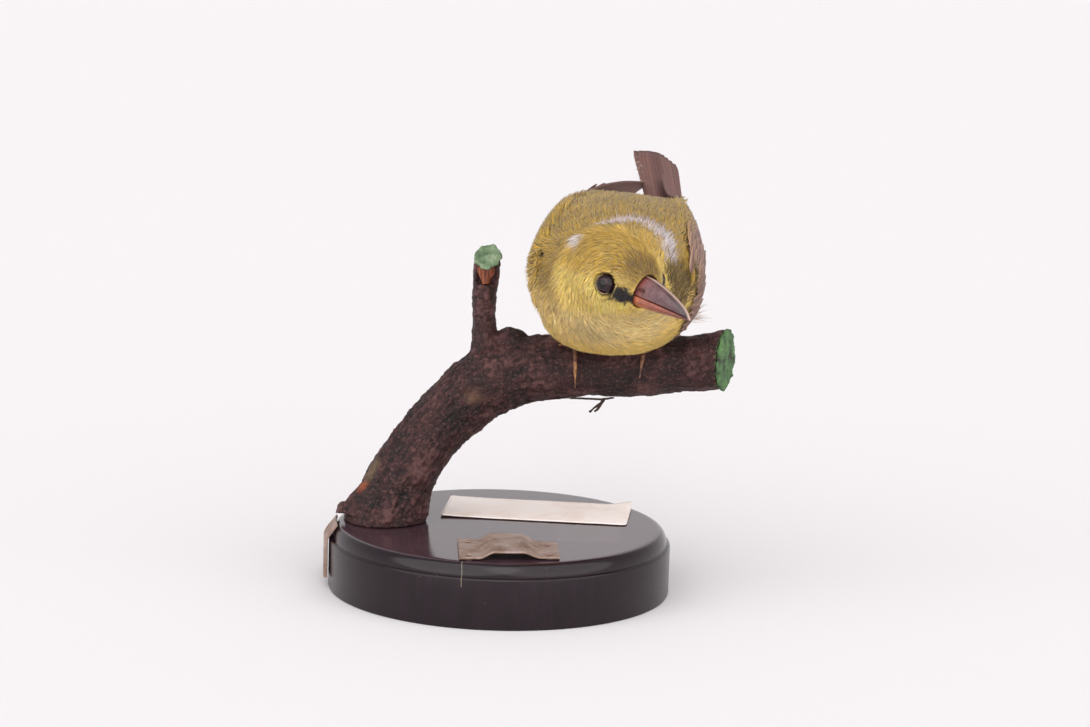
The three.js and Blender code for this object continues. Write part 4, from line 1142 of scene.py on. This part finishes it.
def makeCoat():
    roots, normals = scatter(skin.data, coat["candidates"], coat["cell"])
    h, t = inHead(roots), inTrunk(roots)
    mirrored = np.column_stack([np.abs(h[:, 0]), h[:, 1], h[:, 2]])
    eyeAway = np.linalg.norm(mirrored - (bird["eyeX"], bird["eyeY"], bird["eyeZ"]), axis=1)
    keep = (eyeAway > 4.25) | ((eyeAway > 3.3) & (h[:, 2] > bird["eyeZ"] + 1.8))
    keep &= np.linalg.norm(h - (0, -19, -0.6), axis=1) > 6.6
    raised = np.zeros(len(roots))
    for name, side in (("wing_left", 1), ("wing_right", -1)):
        surface = wingSurfaces[name]
        tree = gridTree(surface)
        columns = surface[0].shape[1] - 1
        for index, root in enumerate(roots):
            near, normal, face, far = tree.find_nearest(Vector(root), 4.2 * mm)
            if near is None:
                continue
            row, column = divmod(face, columns)
            soft = float(soften(side, row / (surface[0].shape[0] - 2), column / (columns - 1)))
            raised[index] = soft * 0.9
            keep[index] &= rng.random() < soft * 1.3 + 0.03
    raised = raised[keep]
    roots, normals, h, t = roots[keep], normals[keep], h[keep], t[keep]
    length, half = lengthAt(roots)
    length = length * rng.normal(1, 0.14, len(roots)).clip(0.6, 1.4)
    half = half * rng.normal(1, 0.18, len(roots)).clip(0.5, 1.6)
    wave = softNoise(roots, 0.009, 21.0) * lieOf["wave"]
    wander = wave + rng.normal(0, lieOf["jitter"], len(roots))
    colour = markings(roots)
    clump = softNoise(roots, 0.0022, 40.0)
    colour = colour * (1 + 0.16 * clump + rng.normal(0, 0.1, len(roots)))[:, None].clip(0.5, 1.5)
    grey = colour.mean(axis=1, keepdims=True)
    colour = grey + (colour - grey) * rng.uniform(0.84, 1.14, (len(roots), 1))
    # clefts between clumps of feathers: the vanes there lie lower and are darkened as painted shade
    cleft = np.exp(-(softNoise(roots, 0.0065, 63.0) / 0.075) ** 2)
    colour = colour * (1 - 0.14 * cleft)[:, None]
    warm = rng.normal(-0.01, 0.035, len(roots))
    colour = np.clip(colour * np.column_stack([1 + warm, np.ones(len(roots)), 1 - 1.5 * warm]), 0, 1)
    rise = 0.5 + 0.15 * length + rng.normal(0, 0.12, len(roots)) + 0.22 * clump - 0.25 * cleft + raised
    onHead = np.linalg.norm(h, axis=1) < 24
    parts = {"headCoat": onHead,
             "breastCoat": ~onHead & (t[:, 1] < -8) & (t[:, 2] < 4),
             "napeCoat": ~onHead & (t[:, 1] < -8) & (t[:, 2] >= 4),
             "bellyCoat": ~onHead & (t[:, 1] >= -8) & (t[:, 2] < 0),
             "backCoat": ~onHead & (t[:, 1] >= -8) & (t[:, 2] >= 0)}
    for name, chosen in parts.items():
        picked = np.flatnonzero(chosen)
        if len(picked) > coat["limit"]:
            picked = rng.choice(picked, coat["limit"], replace=False)
        print(name, int(chosen.sum()), "roots,", len(picked), "vanes")
        layVanes(name, roots[picked], normals[picked], skinTree, length[picked], half[picked],
                 colour[picked],
                 rise[picked], wander[picked])


makeCoat()
print("coat made")


# Wings: their feathers one by one

quill = featherShape(4, 14)
covert = featherShape(2, 6)
quillLevels = np.linspace(0, 1, 15)
covertLevels = np.linspace(0, 1, 7)


def flightMaterial():  # flight feathers: smooth vanes with a soft gloss, slanting barbs and a darker shaft
    material, tree, shader = newMaterial("flight feathers", 0.6, ior=1.4)
    shade = addNode(tree, "ShaderNodeAttribute", attribute_name="feather")
    barb = addNode(tree, "ShaderNodeUVMap", uv_map="barbs")
    parts = addNode(tree, "ShaderNodeSeparateXYZ", {"Vector": barb.outputs[0]})
    across = addNode(tree, "ShaderNodeMath", {0: parts.outputs["X"], 1: 0.5}, operation="ADD")
    across = addNode(tree, "ShaderNodeMath", {0: across.outputs[0]}, operation="FRACT")
    across = addNode(tree, "ShaderNodeMath", {0: across.outputs[0], 1: 0.5}, operation="SUBTRACT")
    fromShaft = addNode(tree, "ShaderNodeMath", {0: across.outputs[0]}, operation="ABSOLUTE")
    slant = addNode(tree, "ShaderNodeMath", {0: fromShaft.outputs[0], 1: -0.16}, operation="MULTIPLY")
    slant = addNode(tree, "ShaderNodeMath", {0: slant.outputs[0], 1: parts.outputs["Y"]}, operation="ADD")
    barbPlace = addNode(tree, "ShaderNodeCombineXYZ", {"X": parts.outputs["X"], "Y": slant.outputs[0],
                                                       "Z": 0.0})
    scaled = addNode(tree, "ShaderNodeMapping", {"Vector": barbPlace.outputs[0], "Scale": (2.2, 95.0, 1.0)})
    streak = addNode(tree, "ShaderNodeTexNoise", {"Vector": scaled.outputs[0], "Scale": 1.0, "Detail": 2.0})
    level = addNode(tree, "ShaderNodeMapRange", {"Value": streak.outputs["Fac"], "From Min": 0.3,
                                                 "From Max": 0.7,
                                                 "To Min": 0.82, "To Max": 1.16})
    shaft = addNode(tree, "ShaderNodeMapRange", {"Value": fromShaft.outputs[0], "From Min": 0.012,
                                                 "From Max": 0.035, "To Min": 0.5, "To Max": 1.0})
    level = addNode(tree, "ShaderNodeMath", {0: level.outputs[0], 1: shaft.outputs[0]},
                    operation="MULTIPLY")
    tinted = addNode(tree, "ShaderNodeVectorMath", {0: shade.outputs["Color"], "Scale": level.outputs[0]},
                     operation="SCALE")
    bump = addNode(tree, "ShaderNodeBump", {"Height": streak.outputs["Fac"], "Strength": 0.3,
                                            "Distance": 0.1 * mm})
    tree.links.new(tinted.outputs[0], shader.inputs["Base Color"])
    tree.links.new(bump.outputs[0], shader.inputs["Normal"])
    return material


flight = flightMaterial()


def bladeWidths(levels, point, blunt=0.04):  # narrow at the quill, then even, rounded or cut at the tip
    grow = 0.35 + 0.65 * smoothStep(levels, 0.0, 0.25)
    return grow * np.sqrt(np.clip(1 - levels ** point, blunt ** 2, 1))


def laidFeathers(surface, plans, shape, levels):  # a plan has start, end, half width, height and colours
    grid, facing = surface
    spines, normals, widths, lifts, colours = [], [], [], [], []
    for plan in plans:
        s = plan["start"][0] + (plan["end"][0] - plan["start"][0]) * levels
        bow = plan.get("bow", 0) * np.sin(levels * math.pi)
        t = plan["start"][1] + (plan["end"][1] - plan["start"][1]) * levels + bow
        spines.append(onGrid(grid, s, t))
        normals.append(unit(onGrid(facing, s, t)))
        widths.append(plan["half"] * mm * bladeWidths(levels, plan.get("point", 5)))
        lifts.append((plan["height"][0] + (plan["height"][1] - plan["height"][0]) * levels) * mm)
        colours.append(plan["colours"])
    spines, normals = np.array(spines), np.array(normals)
    points = tile(shape, spines, normals, np.array(widths), np.array(lifts),
                  np.full(len(plans), 0.11 * mm), 0.12)
    inner, outer = np.array(colours)[:, 0], np.array(colours)[:, 1]
    edge = smoothStep(np.abs(shape["across"]), 0.6, 1.0)[None, :, None]
    tone = inner[:, None] + (outer - inner)[:, None] * edge
    tone = tone * (0.86 + 0.14 * smoothStep(shape["along"], 0, 0.4))[None, :, None]
    return points, np.clip(tone, 0, 1)


def wrapped(points, surface, ease):  # presses a feather's edges down on a curved wing
    grid, facing = surface
    columns = grid.shape[1]
    tree = gridTree(surface)
    for feather in points:
        for index, point in enumerate(feather):
            near, normal, face, far = tree.find_nearest(Vector(point))
            row, column = divmod(face, columns - 1)
            normal = Vector(facing[row, column])
            gap = (Vector(point) - near).dot(normal)
            if abs(gap) > far * 0.9 and gap < ease:
                feather[index] = point + np.array(normal) * (ease - gap) * 0.8
    return points


def wingPlans(side, tones):
    plans = []

    def feather(start, end, half, height, point=5, bow=0.0, shade=1.0):
        tone = shade * rng.normal(1, 0.06)
        pair = np.array([tones["brown"] * tone, tones["edge"] * tone])
        plans.append(dict(start=start, end=end, half=half, height=height, point=point, bow=bow,
                          colours=pair))

    tipFrom, tipLift = (0.08, 0.9) if side < 0 else (0.25, 0.4)  # the right tip stands higher
    for i in range(10):  # primaries, the outermost lowest and last
        f = i / 9
        end = 0.60 + 0.40 * f ** 0.75 - (0.03 if i == 9 else 0)
        height = (-0.4, tipLift - 0.3 * f)
        feather((0.34, 0.5 + 0.38 * f), (end, tipFrom + 0.5 * f), 3.3 - 0.7 * f, height, 4, 0.02, 0.9)
    for i in range(6):  # secondaries
        f = i / 5
        feather((0.26, 0.26 + 0.48 * f), (0.60 + 0.03 * f, 0.2 + 0.5 * f), 3.4, (-0.3, 0.8 - 0.3 * f), 6,
                0.02)
    for i in range(3):  # tertials, on top
        f = i / 2
        feather((0.2, 0.2 + 0.12 * f), (0.50 + 0.07 * f, 0.22 + 0.12 * f), 3.8, (-0.1, 1.0 - 0.3 * f), 5,
                0.03, 1.06)
    for i in range(4):  # the bend's small stiff quills and the primaries' coverts
        f = i / 3
        feather((0.12 + 0.03 * f, 0.86 + 0.08 * f), (0.32 + 0.07 * f, 0.80 + 0.1 * f), 2.4, (-0.2, 0.7),
                4, 0, 0.85)
    return plans


def covertPlans(side, tones):
    plans = []
    rows = ((0.15, 0.36, 11, 2.9, (-0.3, 0.9)), (0.10, 0.25, 12, 2.5, (-0.2, 1.0)),
            (0.055, 0.18, 13, 2.2, (-0.2, 1.0)),
            (0.02, 0.125, 12, 2.0, (-0.3, 0.9)), (0.0, 0.08, 10, 1.8, (-0.4, 0.8)))
    for start, end, count, half, height in rows:
        for i in range(count):
            f = (i + 0.5) / count
            shift = 0.035 * math.sin(f * 7 + start * 40) + rng.normal(0, 0.006)
            tone = rng.normal(1, 0.07)
            olive = np.clip(soften(side, (start + end) / 2, f), 0, 1)
            if olive > 0.8:
                continue
            inner = tones["brown"] + (tones["olive"] - tones["brown"]) * olive
            buffed = tones["buff"] * (1.5 if side > 0 and f < 0.3 else 1.0)
            outer = buffed + (tones["olive"] * 1.15 - buffed) * olive
            plans.append(dict(start=(start + shift, f), end=(end + shift - 0.03 * f, f * 0.97), half=half,
                              height=height, point=3.4, colours=np.array([inner * tone, outer * tone])))
    return plans


def makeWings():
    tones = {name: np.array(linear(wing[name])[:3]) for name in ("brown", "edge", "buff", "tip")}
    tones["olive"] = np.array(linear(marks["mantle"])[:3]) * 0.95
    for name, side in (("wing_left", 1), ("wing_right", -1)):
        surface = wingSurfaces[name]
        grid, facing = surface
        bm = bmesh.new()
        bmesh.ops.create_grid(bm, x_segments=60, y_segments=16, size=0.5)
        s = np.array([vert.co.x + 0.5 for vert in bm.verts])
        t = np.array([vert.co.y + 0.5 for vert in bm.verts])
        inset = 0.02 + t * 0.96
        s = 0.04 + 0.95 * s
        inward = unit(onGrid(facing, s, inset)) * wing["core"] * (1 - 0.6 * s)[:, None]
        places = onGrid(grid, s, inset) - inward
        for vert, place in zip(bm.verts, places):
            vert.co = place
        bmesh.ops.recalc_face_normals(bm, faces=bm.faces)
        bmesh.ops.solidify(bm, geom=bm.faces[:], thickness=wing["thick"])
        bmesh.ops.recalc_face_normals(bm, faces=bm.faces)
        core = makePiece(name.replace("_", "") + "Base", bm, skinMat, [name])
        count = len(core.data.vertices)
        addColours(core.data, "feather", np.tile(tones["tip"] * 1.15, (count, 1)))
        for kind, plans, shape, levels in (("Quills", wingPlans(side, tones), quill, quillLevels),
                                           ("Coverts", covertPlans(side, tones), covert, covertLevels)):
            points, colours = laidFeathers(surface, plans, shape, levels)
            points = wrapped(points, surface, 0.25 * mm)
            mesh = tiledMesh(name.replace("_", "") + kind, shape, points, colours, onUnwrap(points[:, 0]),
                             np.zeros(len(plans)))
            finishPiece(mesh.name, mesh, flight)


skinMat = skin.data.materials[0]
makeWings()
print("wings made")


# Tail: ten quills in a closed fan, the left ones frayed

tailFan = dict(count=10, half=4.6, brown="#62413C", edge="#7A564E", spread=0.78, frayed="#D8C2AE", barbs=70)


def tailLines():  # the tail's middle and its directions, from the CAD tail's own shape
    points = nodePoints("tail")
    middle = points.mean(axis=0)
    axes = np.linalg.svd(points - middle, full_matrices=False)[2]
    back, across = axes[:2]
    back = back * np.sign(back @ trunkAxes[:, 1])
    across = across * np.sign(across @ trunkAxes[:, 0])
    up = np.cross(across, back)
    local = (points - middle) @ np.array([across, back, up]).T
    return middle, np.array([across, back, up]).T, local.min(axis=0), local.max(axis=0)


def makeTail():
    middle, axes, low, high = tailLines()
    brown, edge = (np.array(linear(tailFan[name])[:3]) for name in ("brown", "edge"))
    count = tailFan["count"]
    spines, normals, widths, lifts, colours = [], [], [], [], []
    length = high[1] - low[1]
    for i in range(count):
        f = i / (count - 1)
        fromMiddle = abs(2 * f - 1)
        end = 1.0 - 0.085 * max(0, (f - 0.62) / 0.38) ** 1.2 - (0.05 if i == 1 else 0)
        v = quillLevels
        y = low[1] + length * end * v
        x = (f - 0.5) * 2 * high[0] * tailFan["spread"] * (0.62 + 0.38 * v)
        z = (1 - fromMiddle) * 1.3 * mm - 0.35 * mm + 0 * v
        local = np.column_stack([x, y, z])
        spines.append(local @ axes.T + middle)
        normals.append(np.tile(axes[:, 2], (len(v), 1)))
        width = tailFan["half"] * mm * bladeWidths(v, 30, 0.72) * (0.72 + 0.1 * fromMiddle)
        widths.append(width * (0.6 if i == 0 else 1))
        lifts.append(np.zeros(len(v)))
        tone = rng.normal(1, 0.08)
        colours.append([brown * tone, edge * tone])
    points = tile(quill, np.array(spines), np.array(normals), np.array(widths), np.array(lifts),
                  np.full(count, 0.12 * mm), 0.08)
    inner, outer = np.array(colours)[:, 0], np.array(colours)[:, 1]
    blend = smoothStep(np.abs(quill["across"]), 0.5, 1.0)[None, :, None]
    tone = inner[:, None] + (outer - inner)[:, None] * blend
    mesh = tiledMesh("tailQuills", quill, points, np.clip(tone, 0, 1), onUnwrap(points[:, 0]),
                     np.zeros(count))
    finishPiece("tailQuills", mesh, flight, ["tail"])

    # torn barbs and three bent spikes on the left edge
    starts, ends, tints, widthsOf = [], [], [], []
    cream = np.array(linear(tailFan["frayed"])[:3])
    for i in range(tailFan["barbs"]):
        y = low[1] + length * rng.uniform(0.5, 0.9)
        x = low[0] * rng.uniform(0.55, 0.9)
        start = np.array([x, y, rng.uniform(-0.6, 0.6) * mm])
        out = np.array([-rng.uniform(1.0, 3.4), rng.uniform(-2.2, 1.6), rng.normal(0, 0.9)]) * mm
        starts.append(start)
        ends.append(start + out)
        tints.append(cream * rng.uniform(0.6, 1.05) if i % 3 else brown)
        widthsOf.append(rng.uniform(0.12, 0.3))
    for spike in ((-0.9, 0.52, -3.6, -7.0, 1.5), (-0.9, 0.5, -2.2, -5.2, 0.6),
                  (-0.85, 0.44, -3.0, 5.5, 0.5)):
        start = np.array([low[0] * 0.9, low[1] + length * spike[1], 0])
        starts.append(start)
        ends.append(start + np.array([spike[2], spike[3], spike[4]]) * mm)
        tints.append(brown * 0.9)
        widthsOf.append(0.55)
    starts, ends = np.array(starts) @ axes.T + middle, np.array(ends) @ axes.T + middle
    looseVanes("tornBarbs", starts, ends, np.array(widthsOf), np.array(tints), axes[:, 2])


def looseVanes(name, starts, ends, half, colours, facing, bend=0.12):
    count = len(starts)
    levels = np.array([0, 0.35, 0.75, 1])[None, :, None]
    run = ends - starts
    reach = np.linalg.norm(run, axis=1)
    spread = unit(rng.normal(0, 1, (count, 3)))
    spines = starts[:, None] + run[:, None] * levels
    spines += spread[:, None] * (reach * bend)[:, None, None] * np.sin(levels * math.pi)
    normals = np.tile(np.asarray(facing), (count, 4, 1))
    widths = (half * mm)[:, None] * vaneProfile[None]
    points = tile(vane, spines, normals, widths, np.zeros((count, 4)), np.full(count, 0.05 * mm), 0.0)
    tone = np.repeat(colours[:, None], points.shape[1], axis=1)
    mesh = tiledMesh(name, vane, points, np.clip(tone, 0, 1), onUnwrap(starts), np.zeros(count))
    return finishPiece(name, mesh, featherCoat)


makeTail()


# Loose ends: fluffed down in the nape's crease, the shoulder's tuft, lores, stray barbs at the left flank

# the shoulder tuft's darker olive is painted shade between the head and the left wing
tuft = dict(count=420, at=(29, -19, 3), spread=(1.8, 2.4, 4.5), colour="#8A7038",
            strays=26, strayAt=(72.5, -14, 116.5), strayColour="#B49A84")


def makeTufts():
    down, lilac = (np.array(linear(marks[name])[:3]) for name in ("down", "lilac"))
    line = np.array(marks["crease"], dtype=float)
    count = 620
    f = rng.random(count) * (len(line) - 1)
    i = np.minimum(f.astype(int), len(line) - 2)
    spots = line[i] + (line[i + 1] - line[i]) * (f - i)[:, None] + rng.normal(0, 0.8, (count, 3))
    roots, normals = onSkin(fromTrunk(spots), skinTree)
    tint = down + (lilac - down) * (rng.random(count) ** 1.4)[:, None]
    length = rng.uniform(2.2, 4.6, count)
    wander = rng.normal(0, 0.75, count)
    layVanes("napeDown", roots, normals, skinTree, length, np.full(count, 0.2), tint,
             rng.uniform(0.9, 1.9, count), wander, 0.3, 0.9)

    # black bristly lores from the eye to the bill, on both sides
    for side, name in ((1, "leftLores"), (-1, "rightLores")):
        line = np.array(marks["loresLine"], dtype=float) * (side, 1, 1)
        count = 800
        f = rng.random(count) * (len(line) - 1)
        i = np.minimum(f.astype(int), len(line) - 2)
        spots = line[i] + (line[i + 1] - line[i]) * (f - i)[:, None] + rng.normal(0, 1.35, (count, 3))
        roots, normals = onSkin(fromHead(spots), skinTree)
        tint = np.tile(np.array(linear(marks["lores"])[:3]), (count, 1)) * rng.uniform(0.6, 1.6, (count, 1))
        layVanes(name, roots, normals, skinTree, rng.uniform(1.4, 2.8, count), np.full(count, 0.17), tint,
                 rng.uniform(0.9, 1.7, count), rng.normal(0, 0.5, count), 0.35, 0.9)

    # the tuft over the left shoulder: longer, in a darker olive that paints the shade between the head and
    # the wing, darkest at its root
    count = tuft["count"]
    spots = np.column_stack([rng.normal(at, spread, count) for at,
                             spread in zip(tuft["at"], tuft["spread"])])
    roots, normals = onSkin(fromTrunk(spots), skinTree)
    tint = np.tile(np.array(linear(tuft["colour"])[:3]), (count, 1)) * rng.uniform(0.5, 1.5, (count, 1))
    layVanes("shoulderTuft", roots, normals, skinTree, rng.uniform(5, 8, count), np.full(count, 0.3), tint,
             rng.uniform(1.6, 3.2, count), rng.normal(0.5, 0.45, count), 0.4, 0.55)

    # a displaced covert and wisps that stand out past the left wing
    count = tuft["strays"]
    base = np.array(tuft["strayAt"]) * mm
    starts = base + rng.normal(0, 0.8 * mm, (count, 3))
    reach = [rng.uniform(4, 12.5, count), rng.normal(6, 3, count), rng.uniform(-3, 5.5, count)]
    ends = base + np.column_stack(reach) * mm
    tints = np.tile(np.array(linear(tuft["strayColour"])[:3]), (count, 1)) * rng.uniform(0.6, 1.3,
                                                                                         (count, 1))
    looseVanes("strayBarbs", starts, ends, rng.uniform(0.1, 0.22, count), tints, (0, -1, 0.3), 0.1)


makeTufts()
print("tail and tufts made")


# Bill, eyes and legs

face = dict(eyeRadius=3.95 * mm, lid=4.35 * mm, lidThick=0.34 * mm, squeeze=0.86, pupilTo=60,
            billVoxel=0.28 * mm, nostrilAt=(4.6, -17.6, 1.2), nostrilHalf=(1.6, 2.3, 0.9))


def billMaterial(name, colours, gloss):  # dry horn: smooth, faintly streaked along its length, waxy gloss
    material, tree, shader = newMaterial(name, 0.34, ior=1.54, Coat_Weight=gloss, Coat_Roughness=0.18)
    base, middle, tip, ridge = colours
    along = addNode(tree, "ShaderNodeAttribute", attribute_name="reach").outputs["Fac"]
    top = addNode(tree, "ShaderNodeAttribute", attribute_name="ridge").outputs["Fac"]
    place = addNode(tree, "ShaderNodeTexCoord").outputs["Object"]
    # paler and darker flecks: the horn's own mottling, and painted highlights of its gloss
    flakesAndGlints = addNode(tree, "ShaderNodeTexNoise", {"Vector": place, "Scale": 420.0, "Detail": 6.0,
                                                 "Roughness": 0.7})
    tone = addNode(tree, "ShaderNodeValToRGB", {"Fac": along}, stops=[
        (0.02, linear(base)), (0.3, linear(middle)), (0.95, linear(tip))])
    level = addNode(tree, "ShaderNodeMapRange", {"Value": flakesAndGlints.outputs["Fac"], "From Min": 0.3,
                                                 "From Max": 0.7,
                                                 "To Min": 0.5, "To Max": 1.4})
    tinted = addNode(tree, "ShaderNodeVectorMath", {0: tone.outputs["Color"], "Scale": level.outputs[0]},
                     operation="SCALE")
    lined = addNode(tree, "ShaderNodeMix", {"Factor": top, "A": tinted.outputs[0], "B": linear(ridge)},
                    data_type="RGBA")
    # painted shade: the nostrils' dents and the grooves beside the ridge are darkened
    hole = addNode(tree, "ShaderNodeAttribute", attribute_name="nostril").outputs["Fac"]
    dark = addNode(tree, "ShaderNodeMix", {"Factor": hole, "A": lined.outputs["Result"],
                                           "B": linear("#1A1213")},
                   data_type="RGBA")
    bump = addNode(tree, "ShaderNodeBump", {"Height": flakesAndGlints.outputs["Fac"], "Strength": 0.25,
                                            "Distance": 0.2 * mm})
    tree.links.new(dark.outputs["Result"], shader.inputs["Base Color"])
    tree.links.new(bump.outputs[0], shader.inputs["Normal"])
    return material


def makeBill():
    upper = billMaterial("grey violet horn", ("#844438", "#6C474A", "#42292E", "#C9A795"), 0.45)
    lower = billMaterial("red brown horn", ("#BE6A48", "#A05A44", "#6A3E36", "#8A4A36"), 0.35)
    for name, node, material, slot in (("upperMandible", "bill_upper", upper, "upper_mandible"),
                                       ("lowerMandible", "bill_lower", lower, "lower_mandible")):
        bm = withModifiers(cadShape(node), ("REMESH", dict(mode="VOXEL", voxel_size=face["billVoxel"])),
                           ("SMOOTH", dict(factor=0.5, iterations=7)))
        bm.normal_update()
        points = np.array([vert.co for vert in bm.verts])
        h = inHead(points)
        reach = (-h[:, 1] - 12) / 31
        fromNostril = (np.abs(h) * (1, 0, 0) + h * (0, 1, 1) - face["nostrilAt"]) / face["nostrilHalf"]
        nostrils = np.linalg.norm(fromNostril, axis=1)
        dent = (1 - smoothStep(nostrils, 0.5, 1.2)) * (node == "bill_upper")
        beside = 1 - smoothStep(np.abs(np.abs(h[:, 0]) - 1.15), 0.2, 0.5)
        groove = beside * smoothStep(h[:, 2] + 9 * reach, 3.4, 4.6)
        culmen = (1 - smoothStep(np.abs(h[:, 0]), 0.3, 0.7)) * smoothStep(h[:, 2] + 8.4 * reach, 3.5, 4.8)
        for index, vert in enumerate(bm.verts):
            push = 0.45 * mm * dent[index] + (0.14 * mm * groove[index] if node == "bill_upper" else 0)
            vert.co -= vert.normal * push
        piece = makePiece(name, bm, material, [node])
        addAttribute(piece.data, "reach", np.clip(reach, 0, 1))
        addAttribute(piece.data, "ridge", culmen * 0.75 if node == "bill_upper" else 0 * reach)
        # the nostrils and the grooves darkened as painted shade
        shaded = 0.6 * dent + 0.45 * groove * (node == "bill_upper")
        addAttribute(piece.data, "nostril", np.clip(shaded, 0, 1))


def eyeGlass():  # blown glass painted behind: black pupil, dark red brown ring, sharp clear gloss
    material, tree, shader = newMaterial("blown glass eye", 0.05, ior=1.42)
    place = addNode(tree, "ShaderNodeTexCoord").outputs["Object"]
    fromPupil = addNode(tree, "ShaderNodeAttribute", attribute_name="fromPupil").outputs["Fac"]
    brushed = addNode(tree, "ShaderNodeTexNoise", {"Vector": place, "Scale": 700.0, "Detail": 4.0})
    uneven = addNode(tree, "ShaderNodeMath", {0: brushed.outputs["Fac"], 1: 0.16}, operation="MULTIPLY")
    uneven = addNode(tree, "ShaderNodeMath", {0: uneven.outputs[0], 1: fromPupil}, operation="ADD")
    tone = addNode(tree, "ShaderNodeValToRGB", {"Fac": uneven.outputs[0]}, stops=[
        (0.5, linear("#0B0607")), (0.58, linear("#33191D")), (0.85, linear("#1E0F15"))])
    tree.links.new(tone.outputs["Color"], shader.inputs["Base Color"])
    return material


def lidSkin():  # dried eyelid: thin, pale and wrinkled
    material, tree, shader = newMaterial("dried eyelid skin", 0.6)
    place = addNode(tree, "ShaderNodeTexCoord").outputs["Object"]
    wrinkle = addNode(tree, "ShaderNodeTexNoise", {"Vector": place, "Scale": 1500.0, "Detail": 4.0})
    tone = addNode(tree, "ShaderNodeValToRGB", {"Fac": wrinkle.outputs["Fac"]}, stops=[
        (0.35, linear("#6E5236")), (0.6, linear("#B4976C"))])
    bump = addNode(tree, "ShaderNodeBump", {"Height": wrinkle.outputs["Fac"], "Strength": 0.5,
                                            "Distance": 0.1 * mm})
    tree.links.new(tone.outputs["Color"], shader.inputs["Base Color"])
    tree.links.new(bump.outputs[0], shader.inputs["Normal"])
    return material


def makeEyes():
    glass, lids = eyeGlass(), lidSkin()
    for node, side in (("eye_right", -1), ("eye_left", 1)):
        centre = sum(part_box(node), Vector()) / 2
        bm = bmesh.new()
        bmesh.ops.create_uvsphere(bm, u_segments=48, v_segments=32, radius=face["eyeRadius"])
        bmesh.ops.translate(bm, vec=centre, verts=bm.verts)
        out = Vector(headAxes @ unit(np.array([side, -0.42, 0.12])))
        fromPupil = [(vert.co - centre).angle(out) / math.radians(face["pupilTo"]) for vert in bm.verts]
        ball = makePiece(node.replace("_", "") + "Glass", bm, glass, [node])
        addAttribute(ball.data, "fromPupil", np.clip(fromPupil, 0, 1))
        low = Vector(headAxes @ np.array([0.0, 1.0, -0.55]))
        bm = bmesh.new()
        bmesh.ops.create_circle(bm, cap_ends=False, segments=10, radius=face["lidThick"])
        bmesh.ops.rotate(bm, matrix=Matrix.Rotation(math.pi / 2, 3, "X"), verts=bm.verts)
        bmesh.ops.translate(bm, vec=(face["lid"] * face["squeeze"], 0, 0), verts=bm.verts)
        bmesh.ops.spin(bm, geom=bm.verts[:] + bm.edges[:], axis=(0, 0, 1), cent=(0, 0, 0),
                       angle=2 * math.pi,
                       steps=40, use_merge=True)
        bmesh.ops.remove_doubles(bm, verts=bm.verts, dist=0.005 * mm)
        for vert in bm.verts:  # only the lower hind part of the lid stands out
            shown = (vert.co.x / face["lid"] / face["squeeze"] + 1) / 2
            vert.co.z -= 1.4 * mm * (1 - min(max(shown, 0), 1))
            vert.co.x *= 0.86 - 0.12 * (1 - min(max(shown, 0), 1))
            vert.co.y *= 1 - 0.12 * (1 - min(max(shown, 0), 1))
        hind = out.cross(low).normalized()
        low = hind.cross(out).normalized()
        place = Matrix((low, hind, out)).transposed().to_4x4()
        place.translation = centre + out * face["eyeRadius"] * 0.52
        bmesh.ops.transform(bm, matrix=place, verts=bm.verts)
        bmesh.ops.recalc_face_normals(bm, faces=bm.faces)
        makePiece(node.replace("_", "") + "Lid", bm, lids)


leg = dict(voxel=0.24 * mm, shrivel=0.1 * mm)


def footSkin():  # dried leg skin over wire: brown horn plates with paler edges, shrunk and dull
    material, tree, shader = newMaterial("dried scaly skin", 0.55)
    place = addNode(tree, "ShaderNodeTexCoord").outputs["Object"]
    plates = addNode(tree, "ShaderNodeTexWave", {"Vector": place, "Scale": 260.0, "Distortion": 2.5,
                                                 "Detail": 2.0},
                     bands_direction="Z")
    patch = addNode(tree, "ShaderNodeTexNoise", {"Vector": place, "Scale": 500.0, "Detail": 4.0})
    tone = addNode(tree, "ShaderNodeValToRGB", {"Fac": patch.outputs["Fac"]}, stops=[
        (0.35, linear("#4E332B")), (0.52, linear("#7A5138")), (0.7, linear("#B07F4E"))])
    bump = addNode(tree, "ShaderNodeBump", {"Height": plates.outputs["Fac"], "Strength": 0.5,
                                            "Distance": 0.15 * mm})
    tree.links.new(tone.outputs["Color"], shader.inputs["Base Color"])
    tree.links.new(bump.outputs[0], shader.inputs["Normal"])
    return material


def makeLegs():
    skinOfLegs = footSkin()
    for node, name in (("leg_right", "rightLeg"), ("leg_left", "leftLeg")):
        bm = withModifiers(cadShape(node), ("REMESH", dict(mode="VOXEL", voxel_size=leg["voxel"])),
                           ("SMOOTH", dict(factor=0.5, iterations=3)))
        bm.normal_update()
        for vert in bm.verts:
            vert.co += vert.normal * leg["shrivel"] * noise.noise(vert.co / mm * 1.4)
        makePiece(name, bm, skinOfLegs, [node])


makeBill()
makeEyes()
makeLegs()
print("bill, eyes and legs made")
